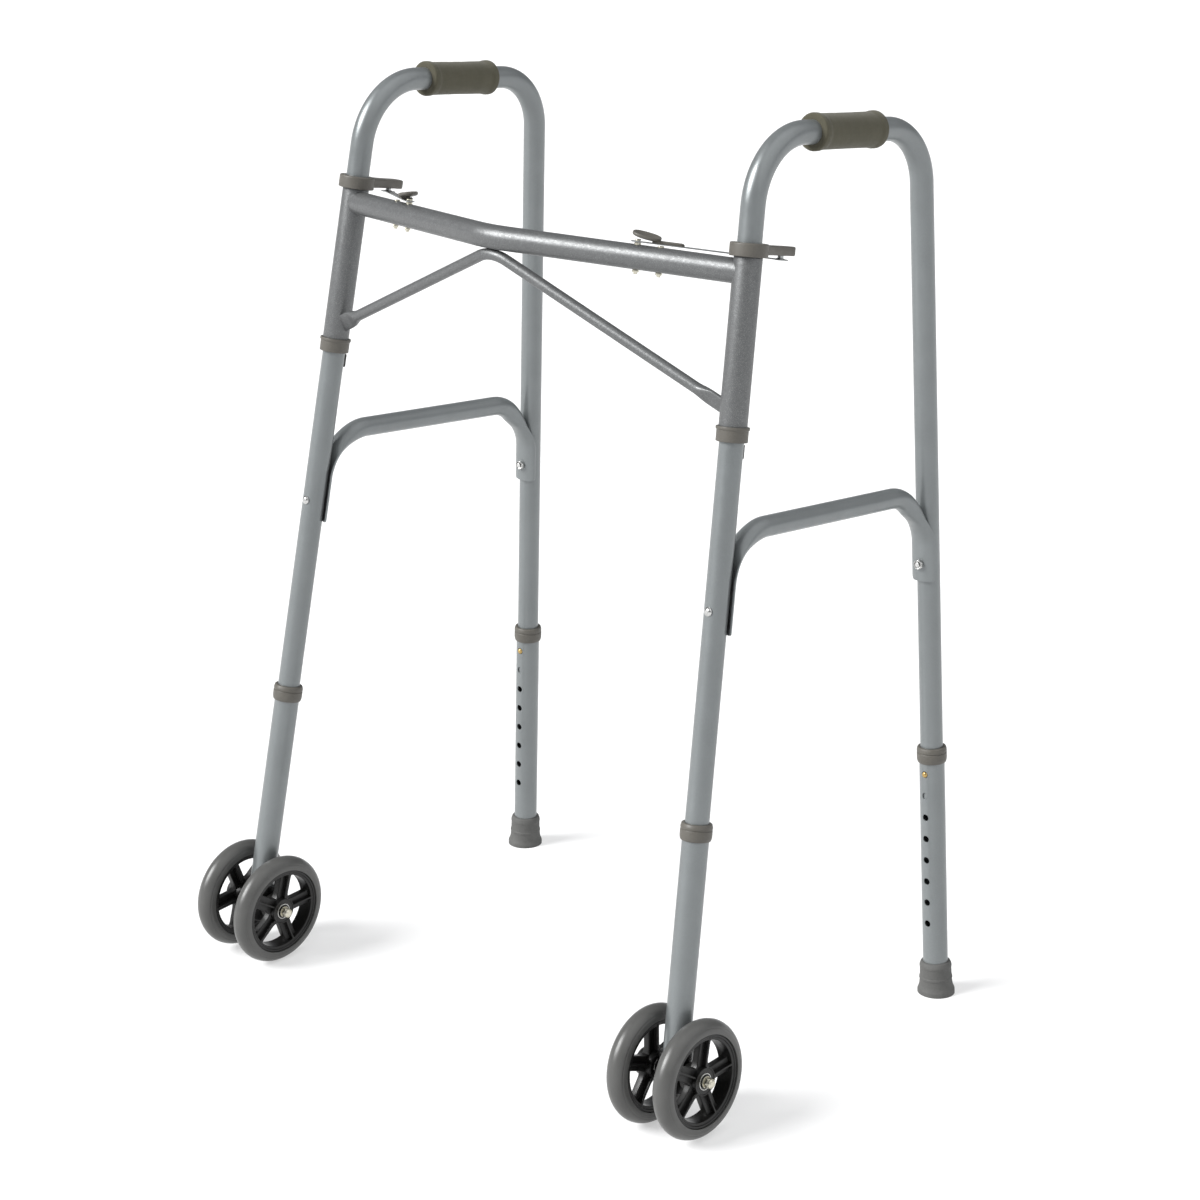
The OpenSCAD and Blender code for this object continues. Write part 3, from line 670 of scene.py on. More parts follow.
def side_tube(side):
    foot_at = FRONT_BUTTON - LEG_BELOW_BUTTON
    front_foot = (AXLE_Y + foot_at * sin(FRONT_LEAN), AXLE_W + foot_at * cos(FRONT_LEAN))
    end_at = REAR_BUTTON - LEG_BELOW_BUTTON
    rear_foot = (REAR_Y - end_at * sin(REAR_LEAN), end_at * cos(REAR_LEAN))
    path = fillet_path([front_foot, FRONT_CORNER, REAR_CORNER, rear_foot], [FRONT_BEND, REAR_BEND])
    path = divided(path, 60, 60, 0)
    outer = sweep(path, lambda at, total: circle(TUBE_R), *SIDE_PLANE)
    bore = sweep(path, lambda at, total: circle(TUBE_R - WALL), *SIDE_PLANE)
    piece("bent_tube", skin(outer + bore[::-1], loop=True), on_side(side), "side_frame",
          "side_tube", "side_tube", side)


def brace_path():
    """The side brace's line in the side plane, down both tails."""
    lean, fall = tan(FRONT_LEAN), tan(BRACE_FALL)
    step = (lean * (BRACE_HEIGHT - AXLE_W) + BRACE_GAP / cos(FRONT_LEAN)) / (1 + lean * fall)
    front = np.array((AXLE_Y + step, BRACE_HEIGHT - fall * step))
    lean = tan(REAR_LEAN)
    step = (WHEELBASE - lean * BRACE_HEIGHT - BRACE_GAP / cos(REAR_LEAN)) / (1 - lean * fall)
    rear = np.array((AXLE_Y + step, BRACE_HEIGHT - fall * step))
    front_down = np.array((-sin(FRONT_LEAN), -cos(FRONT_LEAN)))
    rear_down = np.array((sin(REAR_LEAN), -cos(REAR_LEAN)))
    axle = np.array((AXLE_Y, AXLE_W))
    front_drop = (front - axle) @ -front_down - FRONT_TAIL[0]
    rear_drop = (rear - np.array((REAR_Y, 0))) @ -rear_down - REAR_TAIL[0]
    ends = front + front_down * front_drop, rear + rear_down * rear_drop
    return fillet_path([ends[0], front, rear, ends[1]], [BRACE_BEND, BRACE_BEND])


def tail_ring(origin, away, spread):
    """A flattened tail's ring across a leg; origin is on the leg's axis, away points out."""
    a = angles(64)
    outer = a < math.pi
    share = np.where(outer, 1 - 2 * a / math.pi, 2 * (a - math.pi) / math.pi - 1)
    phi = np.radians(spread) * share
    hug = TUBE_R + TAIL_BOW + 0.05
    thick = TAIL_THICK * (1 - 0.45 * np.abs(share) ** 12)
    radius = np.where(outer, hug + thick, hug + 0.25 * TAIL_THICK * np.abs(share) ** 16)
    across, out = radius * np.sin(phi), radius * np.cos(phi) - TAIL_BOW
    return origin + across[:, None] * np.array((1.0, 0, 0)) + out[:, None] * away


def side_brace(side):
    """A round tube whose ends flatten against the legs while they bend down."""
    path = divided(brace_path(), 40, 1.6, 110)
    rings = sweep(path, lambda at, total: circle(SIDE_BRACE_R), *SIDE_PLANE)
    legs = [(np.array((0, AXLE_Y, AXLE_W)), FRONT_LEAN, 1, FRONT_TAIL, FRONT_FLATTENING),
            (np.array((0, REAR_Y, 0)), -REAR_LEAN, -1, REAR_TAIL, REAR_FLATTENING)]
    for i, (point, _) in enumerate(path):
        foot, lean, way, tail, flattening = legs[0] if i < len(path) / 2 else legs[1]
        up = np.array((0, sin(lean), cos(lean)))
        away = np.array((0, cos(lean), -sin(lean))) * way
        height = (np.array((0, *point)) - foot) @ up
        flat = 1 - smooth((height - flattening[0]) / (flattening[1] - flattening[0]))
        if flat > 0:
            corner = max(0.0, 1 - (height - tail[0]) / 4)
            spread = TAIL_SPREAD * (0.78 + 0.22 * math.sqrt(1 - min(1.0, corner) ** 2))
            strip = tail_ring(foot + up * height, away, spread)
            rings[i] = rings[i] * (1 - flat) + strip * flat
    piece("flattened_brace", skin(rings), on_side(side), "side_frame", "side_tube",
          "side_brace", side)


def bolt_shell():
    """A low domed head in front, the shank's end and a nut behind; Z along the bolt."""
    r, base, nut_at = BOLT_HEAD_R, -TUBE_R, TUBE_R + TAIL_THICK
    head = turned([(0, base - 2.8), (r * 0.55, base - 2.7), (r, base - 0.6), (r, base), (0, base)],
                  [0, 2.2, 0.8, 0.2, 0], 5, 48, closed=False)
    recess = [(0, 0.1), (1.5, 0.1), (1.6, -0.05), (0, -0.06)]
    dimple = moved(lathe(recess, 24, closed=False), move(0, 0, base - 2.78))
    shank = rod_shell(2.95, base, nut_at + 5.4, 0.6)
    nut = moved(nut_shell(5.8, 4.2, 2.9, 1.5), move(0, 0, nut_at + 0.05))
    return joined(head, dimple, shank, nut)


def brace_bolts(side):
    bolt = bolt_shell()
    front = moved(bolt, on_front_leg(side, FRONT_BOLT) @ turn("X", -90))
    rear = moved(bolt, on_rear_leg(side, REAR_BOLT) @ turn("X", 90))
    both = facing_out(joined(front, rear), side)
    piece("bolts", both, Matrix.Identity(4), "side_frame", "zinc_steel", "brace_bolts", side,
          look="bright_bolt")


def grip(side):
    """Foam sleeve with a raised ring at each end, pressed a little where hands hold it."""
    top = GRIP_R + 0.45
    half = [(TUBE_R + 0.02, 0), (top, 0), (top, 7), (GRIP_R - 0.6, 11)]
    other = [(r, GRIP_LENGTH - z) for r, z in reversed(half)]
    profile = rounded(half + other, [0, 2.8, 2.6, 3.5, 3.5, 2.6, 2.8, 0], 6)
    dense = []
    for p, q in zip(profile, profile[1:] + profile[:1]):
        parts = max(1, math.ceil(math.dist(p, q) / 2.0))
        dense += [p + (q - p) * k / parts for k in range(parts)]
    points, faces = lathe(dense, 96)
    for point in points:
        r = math.hypot(*point[:2])
        if r > TUBE_R + 1:
            held = 0.25 * math.exp(-((point[2] - GRIP_LENGTH / 2) / 34) ** 2)
            at = Vector(point)
            soft = 0.22 * noise.noise(at * 0.07) + 0.07 * noise.noise(at * 0.5)
            point[:2] *= 1 - (held + abs(soft)) / r
    place = on_side(side) @ move(0, *FRONT_CORNER) @ turn("X", -90 - HANDLE_FALL) \
        @ move(0, 0, FRONT_TANGENT + GRIP_START)
    foam = piece("foam_grip", (points, faces), place, "side_frame", "grip_foam", "grip", side,
                 crease=60)


def latch_collar(side):
    """A collar above the sleeve, and the ear behind it that takes the latch's stud."""
    height = COLLAR[1] - COLLAR[0]
    low, high = EAR[0] - COLLAR[0], EAR[1] - COLLAR[0]
    bore = TUBE_R + 0.03
    ring = turned([(bore, 0), (COLLAR_R, 0), (COLLAR_R, height), (bore, height)],
                  [0.3, 1.2, 1.8, 0.5], 5, 96)
    sides = rounded([(14.5, 7.9), (14.5, 8), (EAR_R + 0.3, 34), (EAR_R, EAR_END)], [0, 0, 14, 0],
                    6, closed=False)[1:]
    outline = [tuple(p) for p in sides] + arc((0, EAR_END), EAR_R, 0, 180, 25)[1:-1] \
        + [(-p[0], p[1]) for p in sides[::-1]]
    ear = plate_shell(outline, low, high, 1.3)
    piece("collar_with_ear", joined(ring, ear), on_front_leg(side, COLLAR[0]), "side_frame",
          "collar_plastic", "latch_collar", side)


def leg_stop(side):
    block = block_shell((-4, TUBE_R - 0.6, 0), (4, TUBE_R + 5, 15), 1.4)
    piece("stop", block, on_front_leg(side, STOP_AT), "side_frame", "stop_plastic", "leg_stop",
          side)


# ---- Front frame ----

def bar_path(end, rise, bend):
    slope = bar_slope(end, rise, bend)
    top = end[0] * tan(slope)
    return fillet_path([(end[0], 0), (0, top), (-end[0], 0)], [bend], 2.0)


def clipped(ring, along, centre, axis, radius):
    """A ring's points slid along a direction until they are radius from an axis."""
    out = []
    for p in ring:
        rel = p - centre
        rel = rel - axis * (rel @ axis)
        step = along - axis * (along @ axis)
        a, b, c = step @ step, 2 * rel @ step, rel @ rel - radius ** 2
        out.append(p + along * (-b + math.sqrt(max(0.0, b * b - 4 * a * c))) / (2 * a))
    return np.array(out)


def sleeve_axis(end, rise, at, side):
    """The sleeve's axis in a bar's own plane frame."""
    back = bar_plane(end, rise).inverted()
    low = np.array(back @ on_front_leg(side, at).translation)
    high = np.array(back @ on_front_leg(side, at + 100).translation)
    return low, (high - low) / np.linalg.norm(high - low)


def bar_rings(end, rise, at, bend, section, gap, fine, reach):
    """A bowed bar's rings, its ends shaped to sit in the sleeves' walls."""
    path = divided(bar_path(end, rise, bend), gap, fine, reach)
    rings = sweep(path, section, (1, 0, 0), (0, 1, 0))
    way = 1
    for side in (LEFT, RIGHT):
        centre, axis = sleeve_axis(end, rise, at, side)
        foot, tangent = path[0]
        along = np.array((*tangent, 0)) * way
        seat = clipped(rings[0], along, centre, axis, SLEEVE_R - SEAT_DEPTH)
        covered = max((s - r) @ along for s, r in zip(seat, rings[0])) + 1
        keep = [i for i, (p, _) in enumerate(path) if math.dist(p, foot) > covered]
        rings = ([seat] + [rings[i] for i in keep])[::-1]
        path = ([path[0]] + [path[i] for i in keep])[::-1]
        way = -way
    return rings


def crossbar():
    rings = bar_rings(CROSSBAR_END, CROSSBAR_RISE, CROSSBAR_AT, CROSSBAR_BEND,
                      lambda at, total: circle(CROSSBAR_R), 30, 30, 0)
    piece("bowed_crossbar", skin(rings), bar_plane(CROSSBAR_END, CROSSBAR_RISE), "front_frame",
          "front_frame", "crossbar")


def flat_section(w):
    """Between a round bar, w 0, and its flattened end, w 1."""
    a = angles(48)
    c, s = np.cos(a), np.sin(a)
    power = 2 / (2 + 3.0 * w)
    half_thick = FRONT_BRACE_R + (2.5 - FRONT_BRACE_R) * w
    half_wide = FRONT_BRACE_R + (9.5 - FRONT_BRACE_R) * w
    return np.stack((half_thick * np.sign(c) * np.abs(c) ** power,
                     half_wide * np.sign(s) * np.abs(s) ** power), 1)


def front_brace():
    def section(at, total):
        reach = min(at, total - at)
        return flat_section(1 - smooth((reach - FLAT_LENGTH + 2) / (FLAT_TAPER + 4)))

    rings = bar_rings(BRACE_END, BRACE_RISE, FRONT_BRACE_AT, FRONT_BRACE_BEND, section,
                      40, 1.5, FLAT_LENGTH + FLAT_TAPER + 8)
    piece("flattened_front_brace", skin(rings), bar_plane(BRACE_END, BRACE_RISE), "front_frame",
          "front_frame", "front_brace")


def sleeve(side):
    height = SLEEVE[1] - SLEEVE[0]
    tube = ring_shell(SLEEVE_R, TUBE_R + RUNNING, 0, height, 0.5, 96)
    name = NAMES[side]
    piece(f"sleeve_tube_{name}", tube, on_front_leg(side, SLEEVE[0]), "front_frame",
          "front_frame", f"sleeve_{name}")


def sleeve_bush(side):
    height = BUSH[1] - BUSH[0]
    inside = SLEEVE[0] - BUSH[0]
    bore, seat = TUBE_R + RUNNING, SLEEVE_R + 0.02
    bush = turned([(bore, 0), (16.2, 0), (16.2, height - 3.5), (17.2, height - 2.8),
                   (17.2, height), (seat, height), (seat, inside), (bore, inside)],
                  [0.3, 1, 0.5, 0.6, 0.9, 0.3, 0, 0], 4, 96)
    name = NAMES[side]
    piece(f"bush_{name}", bush, on_front_leg(side, BUSH[0]), "front_frame",
          "collar_plastic", f"sleeve_bush_{name}")


def screw_shell(inner):
    """A latch screw through the crossbar: pan head above, hexagon nut below."""
    top = CROSSBAR_R + (STRIP_OVER_BAR + 1.2 if inner else 0)
    shank = rod_shell(2, -CROSSBAR_R - 4.5, top + 0.5, 0.5)
    nut = moved(nut_shell(3.5, 2.6, 1.9), move(0, 0, -CROSSBAR_R - 2.6))
    head = turned([(0, top), (3.3, top), (3.3, top + 1.3), (0, top + 1.3)], [0, 0.1, 0.9, 0], 4,
                  48, closed=False)
    parts = [shank, nut, head]
    if inner:
        strip_low = CROSSBAR_R + STRIP_OVER_BAR - 0.9
        parts.append(ring_shell(3.4, 1.9, CROSSBAR_R - 0.3, strip_low, 0.2, 48))
    return joined(*parts)


def latch_screws():
    shells = []
    for side in (LEFT, RIGHT):
        for i, at in enumerate(SCREWS_AT):
            placed = moved(screw_shell(i == 0), on_crossbar(side) @ move(at, 0, 0))
            shells.append(facing_out(placed, side))
    piece("latch_screws_and_nuts", joined(*shells), Matrix.Identity(4), "front_frame",
          "zinc_steel", "latch_screws")


# ---- Latches ----

def latch_strip(side):
    place, length = on_strip(side)
    outline = [(length - 9, 5)] + [(0, 5)] + arc((0, 0), 7, 134, 226, 9) + [(0, -5)]
    outline += [(length - 9, -5)] + arc((length, 0), 8, -140, 140, 33)
    strip = plate_shell(outline, -0.5, 0.5, 0.18)
    stud = moved(rod_shell(3, 0, 7.4, 0.8), move(length, 0, 0.5))
    collar = moved(rod_shell(4.3, 0, 0.8, 0.3), move(length, 0, 0.45))
    piece("strip_and_stud", joined(strip, stud, collar), place, "latch", "spring_steel",
          "latch_strip", side)


def pad_rings():
    """Rings of the dished thumb pad, from the underside's middle to the dish's middle."""
    count = 64
    a = angles(count)
    power = 2 / 2.4
    x = PAD_LENGTH / 2 * np.sign(np.cos(a)) * np.abs(np.cos(a)) ** power
    y = 10.5 * np.sign(np.sin(a)) * np.abs(np.sin(a)) ** power
    levels = [(0.0, 0.1), (0.5, 0.1), (0.82, 0.3), (0.93, 0.8), (0.985, 1.6), (1.0, 2.7),
              (0.99, 3.6), (0.96, 4.1), (0.91, 4.2), (0.85, 4.0), (0.72, 3.4), (0.52, 2.9),
              (0.28, 2.6), (0.0, 2.5)]
    return [np.stack((x * scale - PAD_LENGTH / 2, y * scale, np.full(count, z)), 1)
            for scale, z in levels]


def tongue_rings():
    """The neck and tongue, from under the pad to the rounded tip."""
    rings = []
    for x in np.linspace(15, TONGUE_END, 44):
        neck = smooth((x - 19) / 8)
        tip = math.sqrt(max(0.02, 1 - max(0.0, (x - TONGUE_END + 4) / 4) ** 2))
        half = (6.0 - 1.8 * neck) * (0.35 + 0.65 * tip)
        top = 0.5 + 2.8 * (0.45 + 0.55 * tip)
        corner = [(-half, 0.55), (half, 0.55), (half, top), (-half, top)]
        section = rounded(corner, [0.2, 0.2, 1.1, 1.1], 4)
        rings.append([(x, p[0], p[1]) for p in section])
    return rings


def latch_pad(side):
    place, _ = on_strip(side)
    pad = skin(pad_rings(), caps=False)
    tilted = moved(pad, move(PAD_AT, 0, 2.1) @ turn("X", PAD_ROLL) @ turn("Y", PAD_TILT))
    piece("thumb_pad", joined(tilted, skin(tongue_rings())), place, "latch", "collar_plastic",
          "latch_pad", side, crease=50)


# ---- Leg extensions ----

def surface_point(x, z, r, facing):
    """On a tube of radius r, the points that seen along Y are at x and z."""
    return np.stack((x, facing * np.sqrt(r * r - x * x), z), -1)


def patch_edge():
    """A patch's square edge around its hole, and each point's angle from the middle."""
    t = np.linspace(-1, 1, PATCH_STEPS + 1)[:-1]
    x, z = PATCH_HALF, PITCH / 2
    edge = [(x, v * z) for v in t] + [(-v * x, z) for v in t]
    edge += [(-x, -v * z) for v in t] + [(v * x, -z) for v in t]
    edge = np.array(edge)
    return edge, np.arctan2(edge[:, 1], edge[:, 0])


def hole_ring(grow, centre, r, facing):
    """A ring around a hole, on a tube of radius r."""
    a = patch_edge()[1]
    x, z = (HOLE_R + grow) * np.cos(a), (HOLE_R + grow) * np.sin(a)
    return surface_point(x, centre + z, r, facing)


def hole_patch(r, centre, facing):
    """Rings from a patch's edge to its hole's rim."""
    edge, a = patch_edge()
    rim = np.stack((HOLE_R * np.cos(a), HOLE_R * np.sin(a)), 1)
    flats = [rim * (1 - share) + edge * share for share in (1.0, 0.66, 0.36, 0.14, 0.0)]
    return [surface_point(flat[:, 0], centre + flat[:, 1], r, facing) for flat in flats]


def hole_skin(r, bore, centre, facing):
    """A patch of both walls, with the slightly rounded rim and the hole between them."""
    outer = hole_patch(r, centre, facing)
    rim = [outer[-2] * 0.18 + outer[-1] * 0.82]
    rim += [hole_ring(grow, centre, r - sink, facing)
            for grow, sink in ((0.3, 0.02), (0.06, 0.12), (0.0, 0.35))]
    rim.append(hole_ring(0, centre, bore, facing))
    inner = hole_patch(bore, centre, facing)[::-1]
    points, faces = skin(outer[:-1] + rim + inner[1:], caps=False)
    return points, [f[::-1] for f in faces] if facing > 0 else faces


def tube_wall(radius, rows, holed, facing, inside):
    """One wall of a tube on quads; the strip of its first columns is open at holed rows."""
    across = np.linspace(-1, 1, PATCH_STEPS + 1) * PATCH_HALF / radius
    band = facing * math.pi / 2 + np.arcsin(across)
    rest = np.linspace(band[-1], band[0] + 2 * math.pi, 57)[1:-1]
    a = np.concatenate((band, rest))
    rings = []
    for i, z in enumerate(rows):
        r = radius if inside or 0 < i < len(rows) - 1 else radius - 0.25
        rings.append(level_ring(r, a, z))
    points, faces = skin(rings, caps=False)
    faces = [f for k, f in enumerate(faces)
             if k % len(a) >= PATCH_STEPS or not holed[k // len(a)]]
    return points, [f[::-1] for f in faces] if inside else faces


def perforated(r, bore, low, high, holes, facing):
    """A straight tube with round holes in one wall, each in its own patch of quads."""
    first, last = min(holes) - PITCH / 2, max(holes) + PITCH / 2
    below = np.linspace(low + 0.3, first, max(2, math.ceil((first - low) / 12)))
    above = np.linspace(last, high - 0.3, max(2, math.ceil((high - last) / 12)))
    rows = [low, *below]
    for z in sorted(holes):
        rows += list(np.linspace(z - PITCH / 2, z + PITCH / 2, PATCH_STEPS + 1))[1:]
    rows += [*above[1:], high]
    holed = [first - 1e-6 < a and b < last + 1e-6 for a, b in zip(rows, rows[1:])]
    outer = tube_wall(r, rows, holed, facing, False)
    inner = tube_wall(bore, rows, holed, facing, True)
    patches = [hole_skin(r, bore, z, facing) for z in holes]
    count = len(outer[0]) // len(rows)
    foot = skin([inner[0][:count], outer[0][:count]], caps=False)
    top = skin([outer[0][-count:], inner[0][-count:]], caps=False)
    return joined(outer, inner, *patches, foot, top)


def leg(side, front):
    """A leg's own word, its place and its button's height."""
    if front:
        return "front", on_front_leg(side), FRONT_BUTTON
    return "rear", on_rear_leg(side), REAR_BUTTON


def extension(side, front):
    end, place, button = leg(side, front)
    low = -14 if front else 8
    high = button + COLLAR_TOP - 4
    holes = [button - i * PITCH for i in range(SETTINGS)]
    tube = perforated(EXTENSION_R, TUBE_R + RUNNING, low, high, holes, 1 if front else -1)
    piece(f"{end}_leg_tube", tube, place, f"{end}_leg", "leg_extension", f"{end}_extension",
          side)


def extension_collar(side, front):
    """A collar over an extension's mouth, with a groove around its middle."""
    end, place, button = leg(side, front)
    h = COLLAR_HEIGHT
    outer, mid, inner = EXTENSION_R + 1.6, EXTENSION_R + 2.6, TUBE_R + RUNNING
    groove, seat = mid - 0.7, EXTENSION_R + 0.02
    collar = turned([(seat, 0), (outer, 0), (mid, 3.5), (mid, 11), (groove, 11.3),
                     (groove, 12.2), (mid, 12.5), (mid, 14.5), (outer, h), (inner, h),
                     (inner, h - 4), (seat, h - 4)],
                    [0.2, 0.8, 2, 0.4, 0.3, 0.3, 0.4, 1.5, 1.2, 0.5, 0.1, 0.1], 4, 96)
    piece(f"{end}_leg_collar", collar, place @ move(0, 0, button + COLLAR_TOP - h),
          f"{end}_leg", "collar_plastic", f"{end}_collar", side)


def snap_button(side, front):
    end, place, button = leg(side, front)
    top = EXTENSION_R + 1.6
    knob = turned([(0, 8.1), (5, 8.1), (5, 9.4), (3.5, 9.4), (3.5, EXTENSION_R - 0.1),
                   (2.4, top - 0.25), (0, top)], [0, 0.3, 0.3, 0.2, 0.9, 1.2, 0], 4, 40,
                  closed=False)
    way = turn("X", -90 if front else 90)
    piece(f"{end}_snap_button", knob, place @ move(0, 0, button) @ way, f"{end}_button",
          "brass_button", f"{end}_button", side, crease=50)


def rear_tip(side):
    """Flared rubber tip with two fine rings, cut level at the floor."""
    r, bore = TIP_R, EXTENSION_R + 0.02
    points, faces = turned(
        [(0, -4), (r, -4), (r, 4.6), (r - 1.0, 6.6), (r - 2.2, 10), (r - 2.8, 17),
         (r - 2.3, 18), (r - 2.4, 20), (r - 3.0, 21), (r - 3.3, 31), (r - 2.9, 32),
         (r - 3.0, 34), (r - 4.4, 38), (bore, 39), (bore, 8), (0, 8)],
        [0, 0.2, 1.2, 1.5, 3, 0.4, 0.4, 0.4, 0.4, 0.4, 0.4, 0.6, 1.4, 0.5, 0, 0], 4, 96,
        closed=False)
    place = np.array(on_rear_leg(side))
    world = points @ place[:3, :3].T + place[:3, 3]
    world -= np.minimum(world[:, 2:], 0) * place[:3, 2] / place[2, 2]
    tip = facing_out((world, faces), side)
    piece("rubber_tip", tip, Matrix.Identity(4), "rear_leg", "tip_rubber", "rear_tip", side)


# ---- Axles and wheels ----

def axle_block(side):
    bore = EXTENSION_R + 0.02
    body = turned([(0, -20), (17, -20), (17, 21), (bore, 21), (bore, -13.9), (0, -13.9)],
                  [0, 2.5, 1.6, 0.4, 0.1, 0], 5, 96, closed=False)
    boss = moved(ring_shell(10, 4.02, -19.4, 19.4, 1.2, 64), turn("Y", 90))
    slimmer = Matrix.Diagonal((0.99, 0.99, 1, 1))
    slim = [moved(ring_shell(17.4, 16.5, z, z + 1.6, 0.5, 96), slimmer) for z in (14.5, 17.5)]
    piece("axle_housing", joined(body, boss, *slim), on_front_leg(side), "front_leg",
          "hub_plastic", "axle_block", side)


def axle(side):
    reach = NUT_AT + 9.5
    rod = moved(rod_shell(4, -reach + 4, reach, 1.2), turn("Y", 90))
    piece("axle_rod", rod, on_front_leg(side), "front_leg", "zinc_steel", "axle", side)


def cap_nut_shell(height):
    """A hexagon nut whose round, threaded end is domed."""
    nut = nut_shell(5.9, 4.0, 4.02)
    end = [(4.3, 3.6), (5.2, 3.8), (5.2, 4.5), (4.8, 4.8), (4.8, 5.3), (5.2, 5.6), (5.2, 6.3),
           (4.9, 6.6), (5.1, 7.0), (5.0, height - 1.6), (3.6, height - 0.3), (0, height),
           (0, 3.6)]
    return joined(nut, turned(end, 0.25, 3, 64, closed=False))


def axle_nuts(side):
    washer = ring_shell(6.3, 4.02, 0, 1.2, 0.25)
    pair = joined(washer, moved(cap_nut_shell(8.2), move(0, 0, 1.2)))
    ends = [moved(pair, turn("Y", 90 * hand) @ move(0, 0, NUT_AT)) for hand in (1, -1)]
    piece("axle_fasteners", joined(*ends), on_front_leg(side), "front_leg", "zinc_steel",
          "axle_nuts", side)


def tyre_profile():
    """Round tyre with a moulding line at its crown and a fine step on each side."""
    centre, limit = WHEEL_R - TYRE_HALF, 99.0
    points = []
    for phi in np.linspace(-limit, limit, 67):
        r = TYRE_HALF - 0.12
        r += 0.12 * math.exp(-(phi / 1.8) ** 2)
        r -= 0.35 * math.exp(-((abs(phi) - 66) / 2.2) ** 2)
        points.append((centre + r * cos(phi), r * sin(phi)))
    return points


def tyre(side, hand, at):
    piece(f"solid_tyre_{at}", lathe(tyre_profile(), 128), on_wheel(side, hand), f"wheel_{at}",
          "tyre_rubber", f"tyre_{at}", side, crease=50)


def beam(rows, section):
    """Rounded rectangles along X; section gives two half sizes, a corner and its steps."""
    rings = []
    for r in rows:
        half, deep, corner, steps = section(r)
        corners = [(-half, -deep), (half, -deep), (half, deep), (-half, deep)]
        rings.append([(r, p[0], p[1]) for p in rounded(corners, corner, steps)])
    return skin(rings)


def spoke_shell():
    """One spoke: a broad web that widens at boss and rim, with a rib down its middle."""
    def web(r):
        flare = max(0.0, 1 - (r - 13) / 8) ** 2 + max(0.0, 1 - (RIM_R - 5 - r) / 7) ** 2
        flare = min(1.4, flare)
        return 8 + 1.6 * flare, 4 + 0.8 * flare, 1.2, 4

    def rib(r):
        flare = min(1.4, max(0.0, 1 - (RIM_R - 5 - r) / 6) ** 2)
        dip = math.sin(math.pi * min(1, (r - 10) / 36))
        return 0.95 + 0.7 * flare, 9.5 - 0.9 * dip, 0.5, 3

    return joined(beam(np.linspace(10, RIM_R - 2, 26), web),
                  beam(np.linspace(10, RIM_R - 2, 20), rib))


def hub(side, hand, at):
    """Rim with a stepped edge, boss with a raised lip, and five spokes."""
    edge = RIM_R - 0.03
    rim = turned([(43.4, -9.3), (46.3, -9.3), (46.7, -10.5), (edge, -10.5), (edge, 10.5),
                  (46.7, 10.5), (46.3, 9.3), (43.4, 9.3), (42.9, 4), (42.7, 0), (42.9, -4)],
                 [0.7, 0.3, 0.5, 0.8, 0.8, 0.5, 0.3, 0.7, 2, 2, 2], 4, 128)
    low, high = -HUB_INNER, HUB_OUTER
    seat, step = BEARING_R + 0.03, BEARING_WIDTH
    boss = turned([(6, low + step), (seat, low + step), (seat, low + 0.6), (13.5, low + 0.9),
                   (13.9, low), (15, low), (15, high), (13.9, high), (13.5, high - 0.9),
                   (seat, high - 0.6), (seat, high - step), (6, high - step)],
                  [0.1, 0.1, 0.3, 0.3, 0.3, 0.5, 0.5, 0.3, 0.3, 0.3, 0.1, 0.1], 4, 96)
    # Black rings of the hub's plastic in front of the bearings' recessed shields; they keep the
    # middle of each boss dark.
    black_ring = ring_shell(BEARING_R - 0.7, 5.6, 0, 0.8, 0.2)
    black_rings = [moved(black_ring, move(0, 0, z)) for z in (low + 0.9, high - 1.7)]
    first = SPOKE_TURN[at, side]
    spokes = [moved(spoke_shell(), turn("Z", first + 72 * i)) for i in range(5)]
    piece(f"spoked_hub_{at}", joined(rim, boss, *black_rings, *spokes), on_wheel(side, hand),
          f"wheel_{at}", "hub_plastic", f"hub_{at}", side)


def bearings(side, hand, at):
    """Two ring bearings: outer race, recessed shield and inner race."""
    edge, wide = BEARING_R, BEARING_WIDTH
    ring = turned([(4.05, 0), (edge, 0), (edge, wide), (edge - 0.9, wide), (edge - 1.1, 4.2),
                   (5.4, 4.2), (5.2, 6.8), (4.05, 6.8)],
                  [0.3, 0.3, 0.3, 0.2, 0.1, 0.1, 0.2, 0.3], 3, 72)
    outer = moved(ring, move(0, 0, HUB_OUTER - wide))
    inner = moved(ring, move(0, 0, -HUB_INNER + wide) @ turn("X", 180))
    piece(f"ring_bearings_{at}", joined(outer, inner), on_wheel(side, hand), f"wheel_{at}",
          "bearing_steel", f"bearings_{at}", side)


# ---- The object ----

def paint_cad_nodes():
    """Nodes that stay as CAD meshes get their slot's look."""
    slots = {m["node"]: m["slot"] for m in frame["record"].get("subparts", []) if "slot" in m}
    for name, obj in frame["nodes"].items():
        look = LOOKS.get(slots.get(name, ""), LOOKS["spring_steel"])
        obj.data.materials.clear()
        obj.data.materials.append(look)


def build():
    paint_cad_nodes()
    crossbar()
    front_brace()
    latch_screws()
    for side in (LEFT, RIGHT):
        side_tube(side)
        side_brace(side)
        brace_bolts(side)
        grip(side)
        latch_collar(side)
        leg_stop(side)
        sleeve(side)
        sleeve_bush(side)
        latch_strip(side)
        latch_pad(side)
        for front in (True, False):
            extension(side, front)
            extension_collar(side, front)
            snap_button(side, front)
        rear_tip(side)
        axle_block(side)
        axle(side)
        axle_nuts(side)
        for hand, at in ((1, "outer"), (-1, "inner")):
            tyre(side, hand, at)
            hub(side, hand, at)
            bearings(side, hand, at)


# ---- Stage, light and camera, in metres ----

FLOOR_R = 30


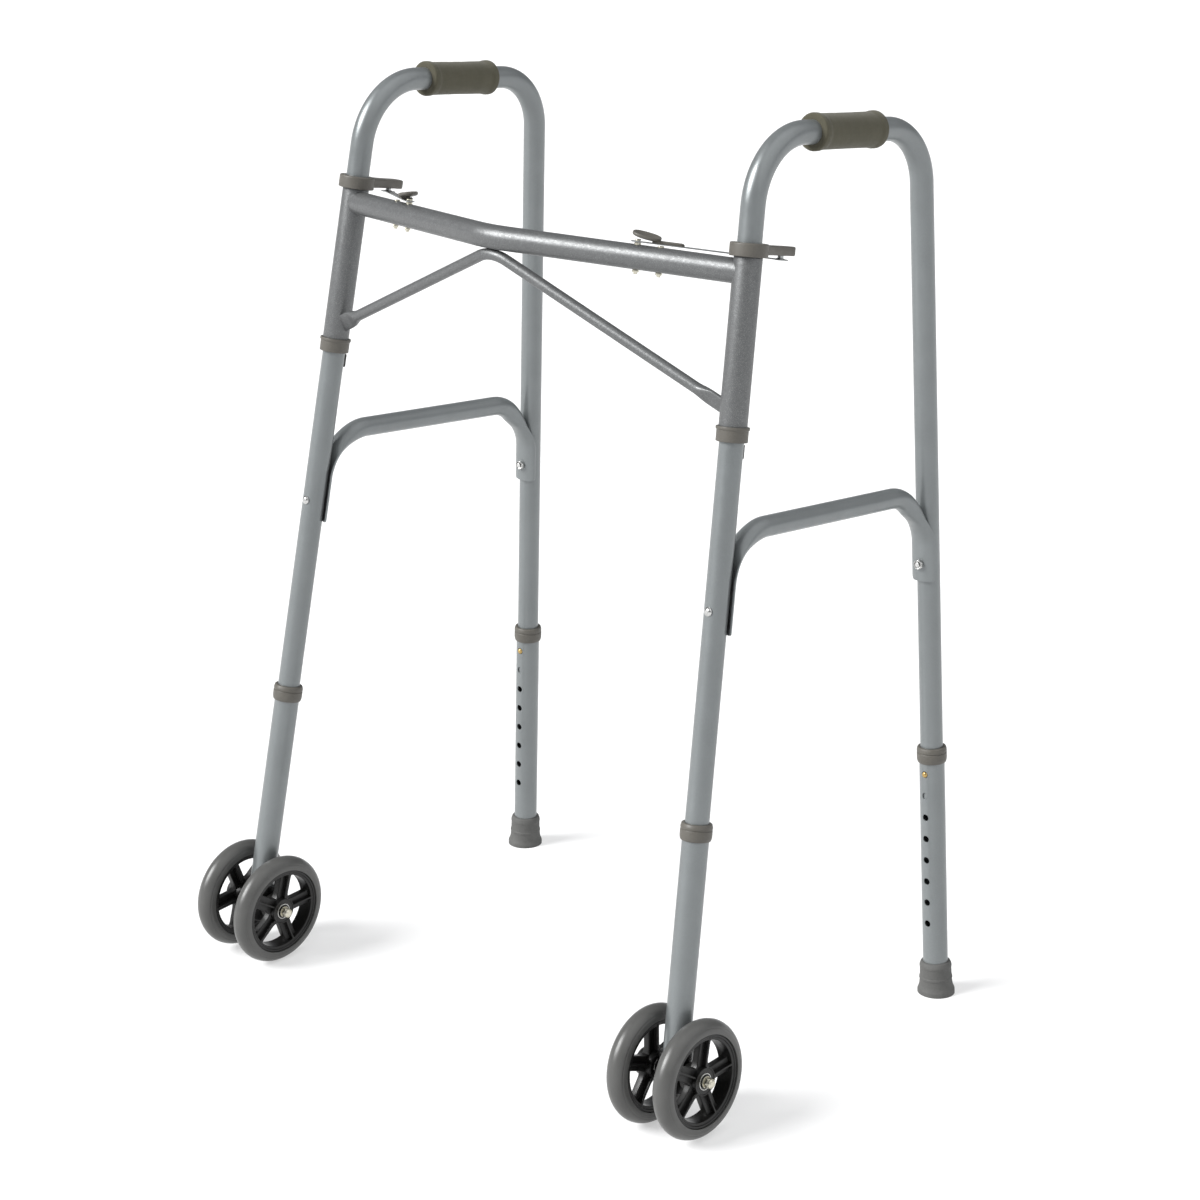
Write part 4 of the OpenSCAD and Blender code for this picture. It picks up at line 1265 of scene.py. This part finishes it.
def floor():
    """A plain pale floor, wide enough to fill the view."""
    mesh = bpy.data.meshes.new("floor")
    mesh.from_pydata(level_ring(FLOOR_R, angles(96), 0), [], [tuple(range(96))])
    n = Nodes("pale_floor", Emission_Color=(1, 1, 1, 1), Emission_Strength=0.47)
    colour = n.ramp(n.noise(3, 3), [(0.3, (0.47, 0.47, 0.47)), (0.7, (0.49, 0.49, 0.49))])
    mesh.materials.append(n.finish(colour, n.spread(n.noise(8, 3), 0.75, 0.85)))
    obj = bpy.data.objects.new("floor", mesh)
    bpy.context.scene.collection.objects.link(obj)


def sun(name, strength, spread, azimuth, elevation):
    """A soft distant light; azimuth is where it stands, from +X towards +Y."""
    lamp = bpy.data.lights.new(name, "SUN")
    lamp.energy = strength
    lamp.angle = math.radians(spread)
    obj = bpy.data.objects.new(name, lamp)
    stand = Vector((cos(azimuth) * cos(elevation), sin(azimuth) * cos(elevation), sin(elevation)))
    obj.rotation_mode = "QUATERNION"
    obj.rotation_quaternion = stand.to_track_quat("Z", "Y")
    bpy.context.scene.collection.objects.link(obj)


def surroundings():
    """A dim sky that turns white close to the horizon, as a studio's backdrop does."""
    world = bpy.data.worlds.new("studio")
    bpy.context.scene.world = world
    world.use_nodes = True
    nodes = world.node_tree.nodes
    parts = nodes.new("ShaderNodeSeparateXYZ")
    set_inputs(parts, Vector=nodes.new("ShaderNodeTexCoord").outputs["Generated"])
    level = nodes.new("ShaderNodeMapRange")
    set_inputs(level, Value=parts.outputs["Z"], From_Min=0.06, From_Max=0.09, To_Min=1.1,
               To_Max=0.29)
    set_inputs(nodes["Background"], Color=(0.95, 0.97, 1.0, 1),
               Strength=level.outputs["Result"])


def light():
    surroundings()
    sun("key", 5.3, 30, 240, 37)
    sun("fill", 1.5, 85, 12, 50)
    bpy.context.scene.view_settings.view_transform = "Standard"


def camera():
    lens = bpy.data.cameras.new("camera")
    lens.lens = 89.8
    lens.sensor_width = 36
    lens.shift_x = 0.0078
    lens.shift_y = -0.0016
    obj = bpy.data.objects.new("camera", lens)
    obj.location = (2.1344, -2.2867, 1.4657)
    obj.rotation_euler = (math.radians(90 - 17.91), math.radians(0.06), math.radians(42.78))
    bpy.context.scene.collection.objects.link(obj)
    bpy.context.scene.camera = obj


build()
floor()
light()
camera()

bpy.context.view_layer.update()
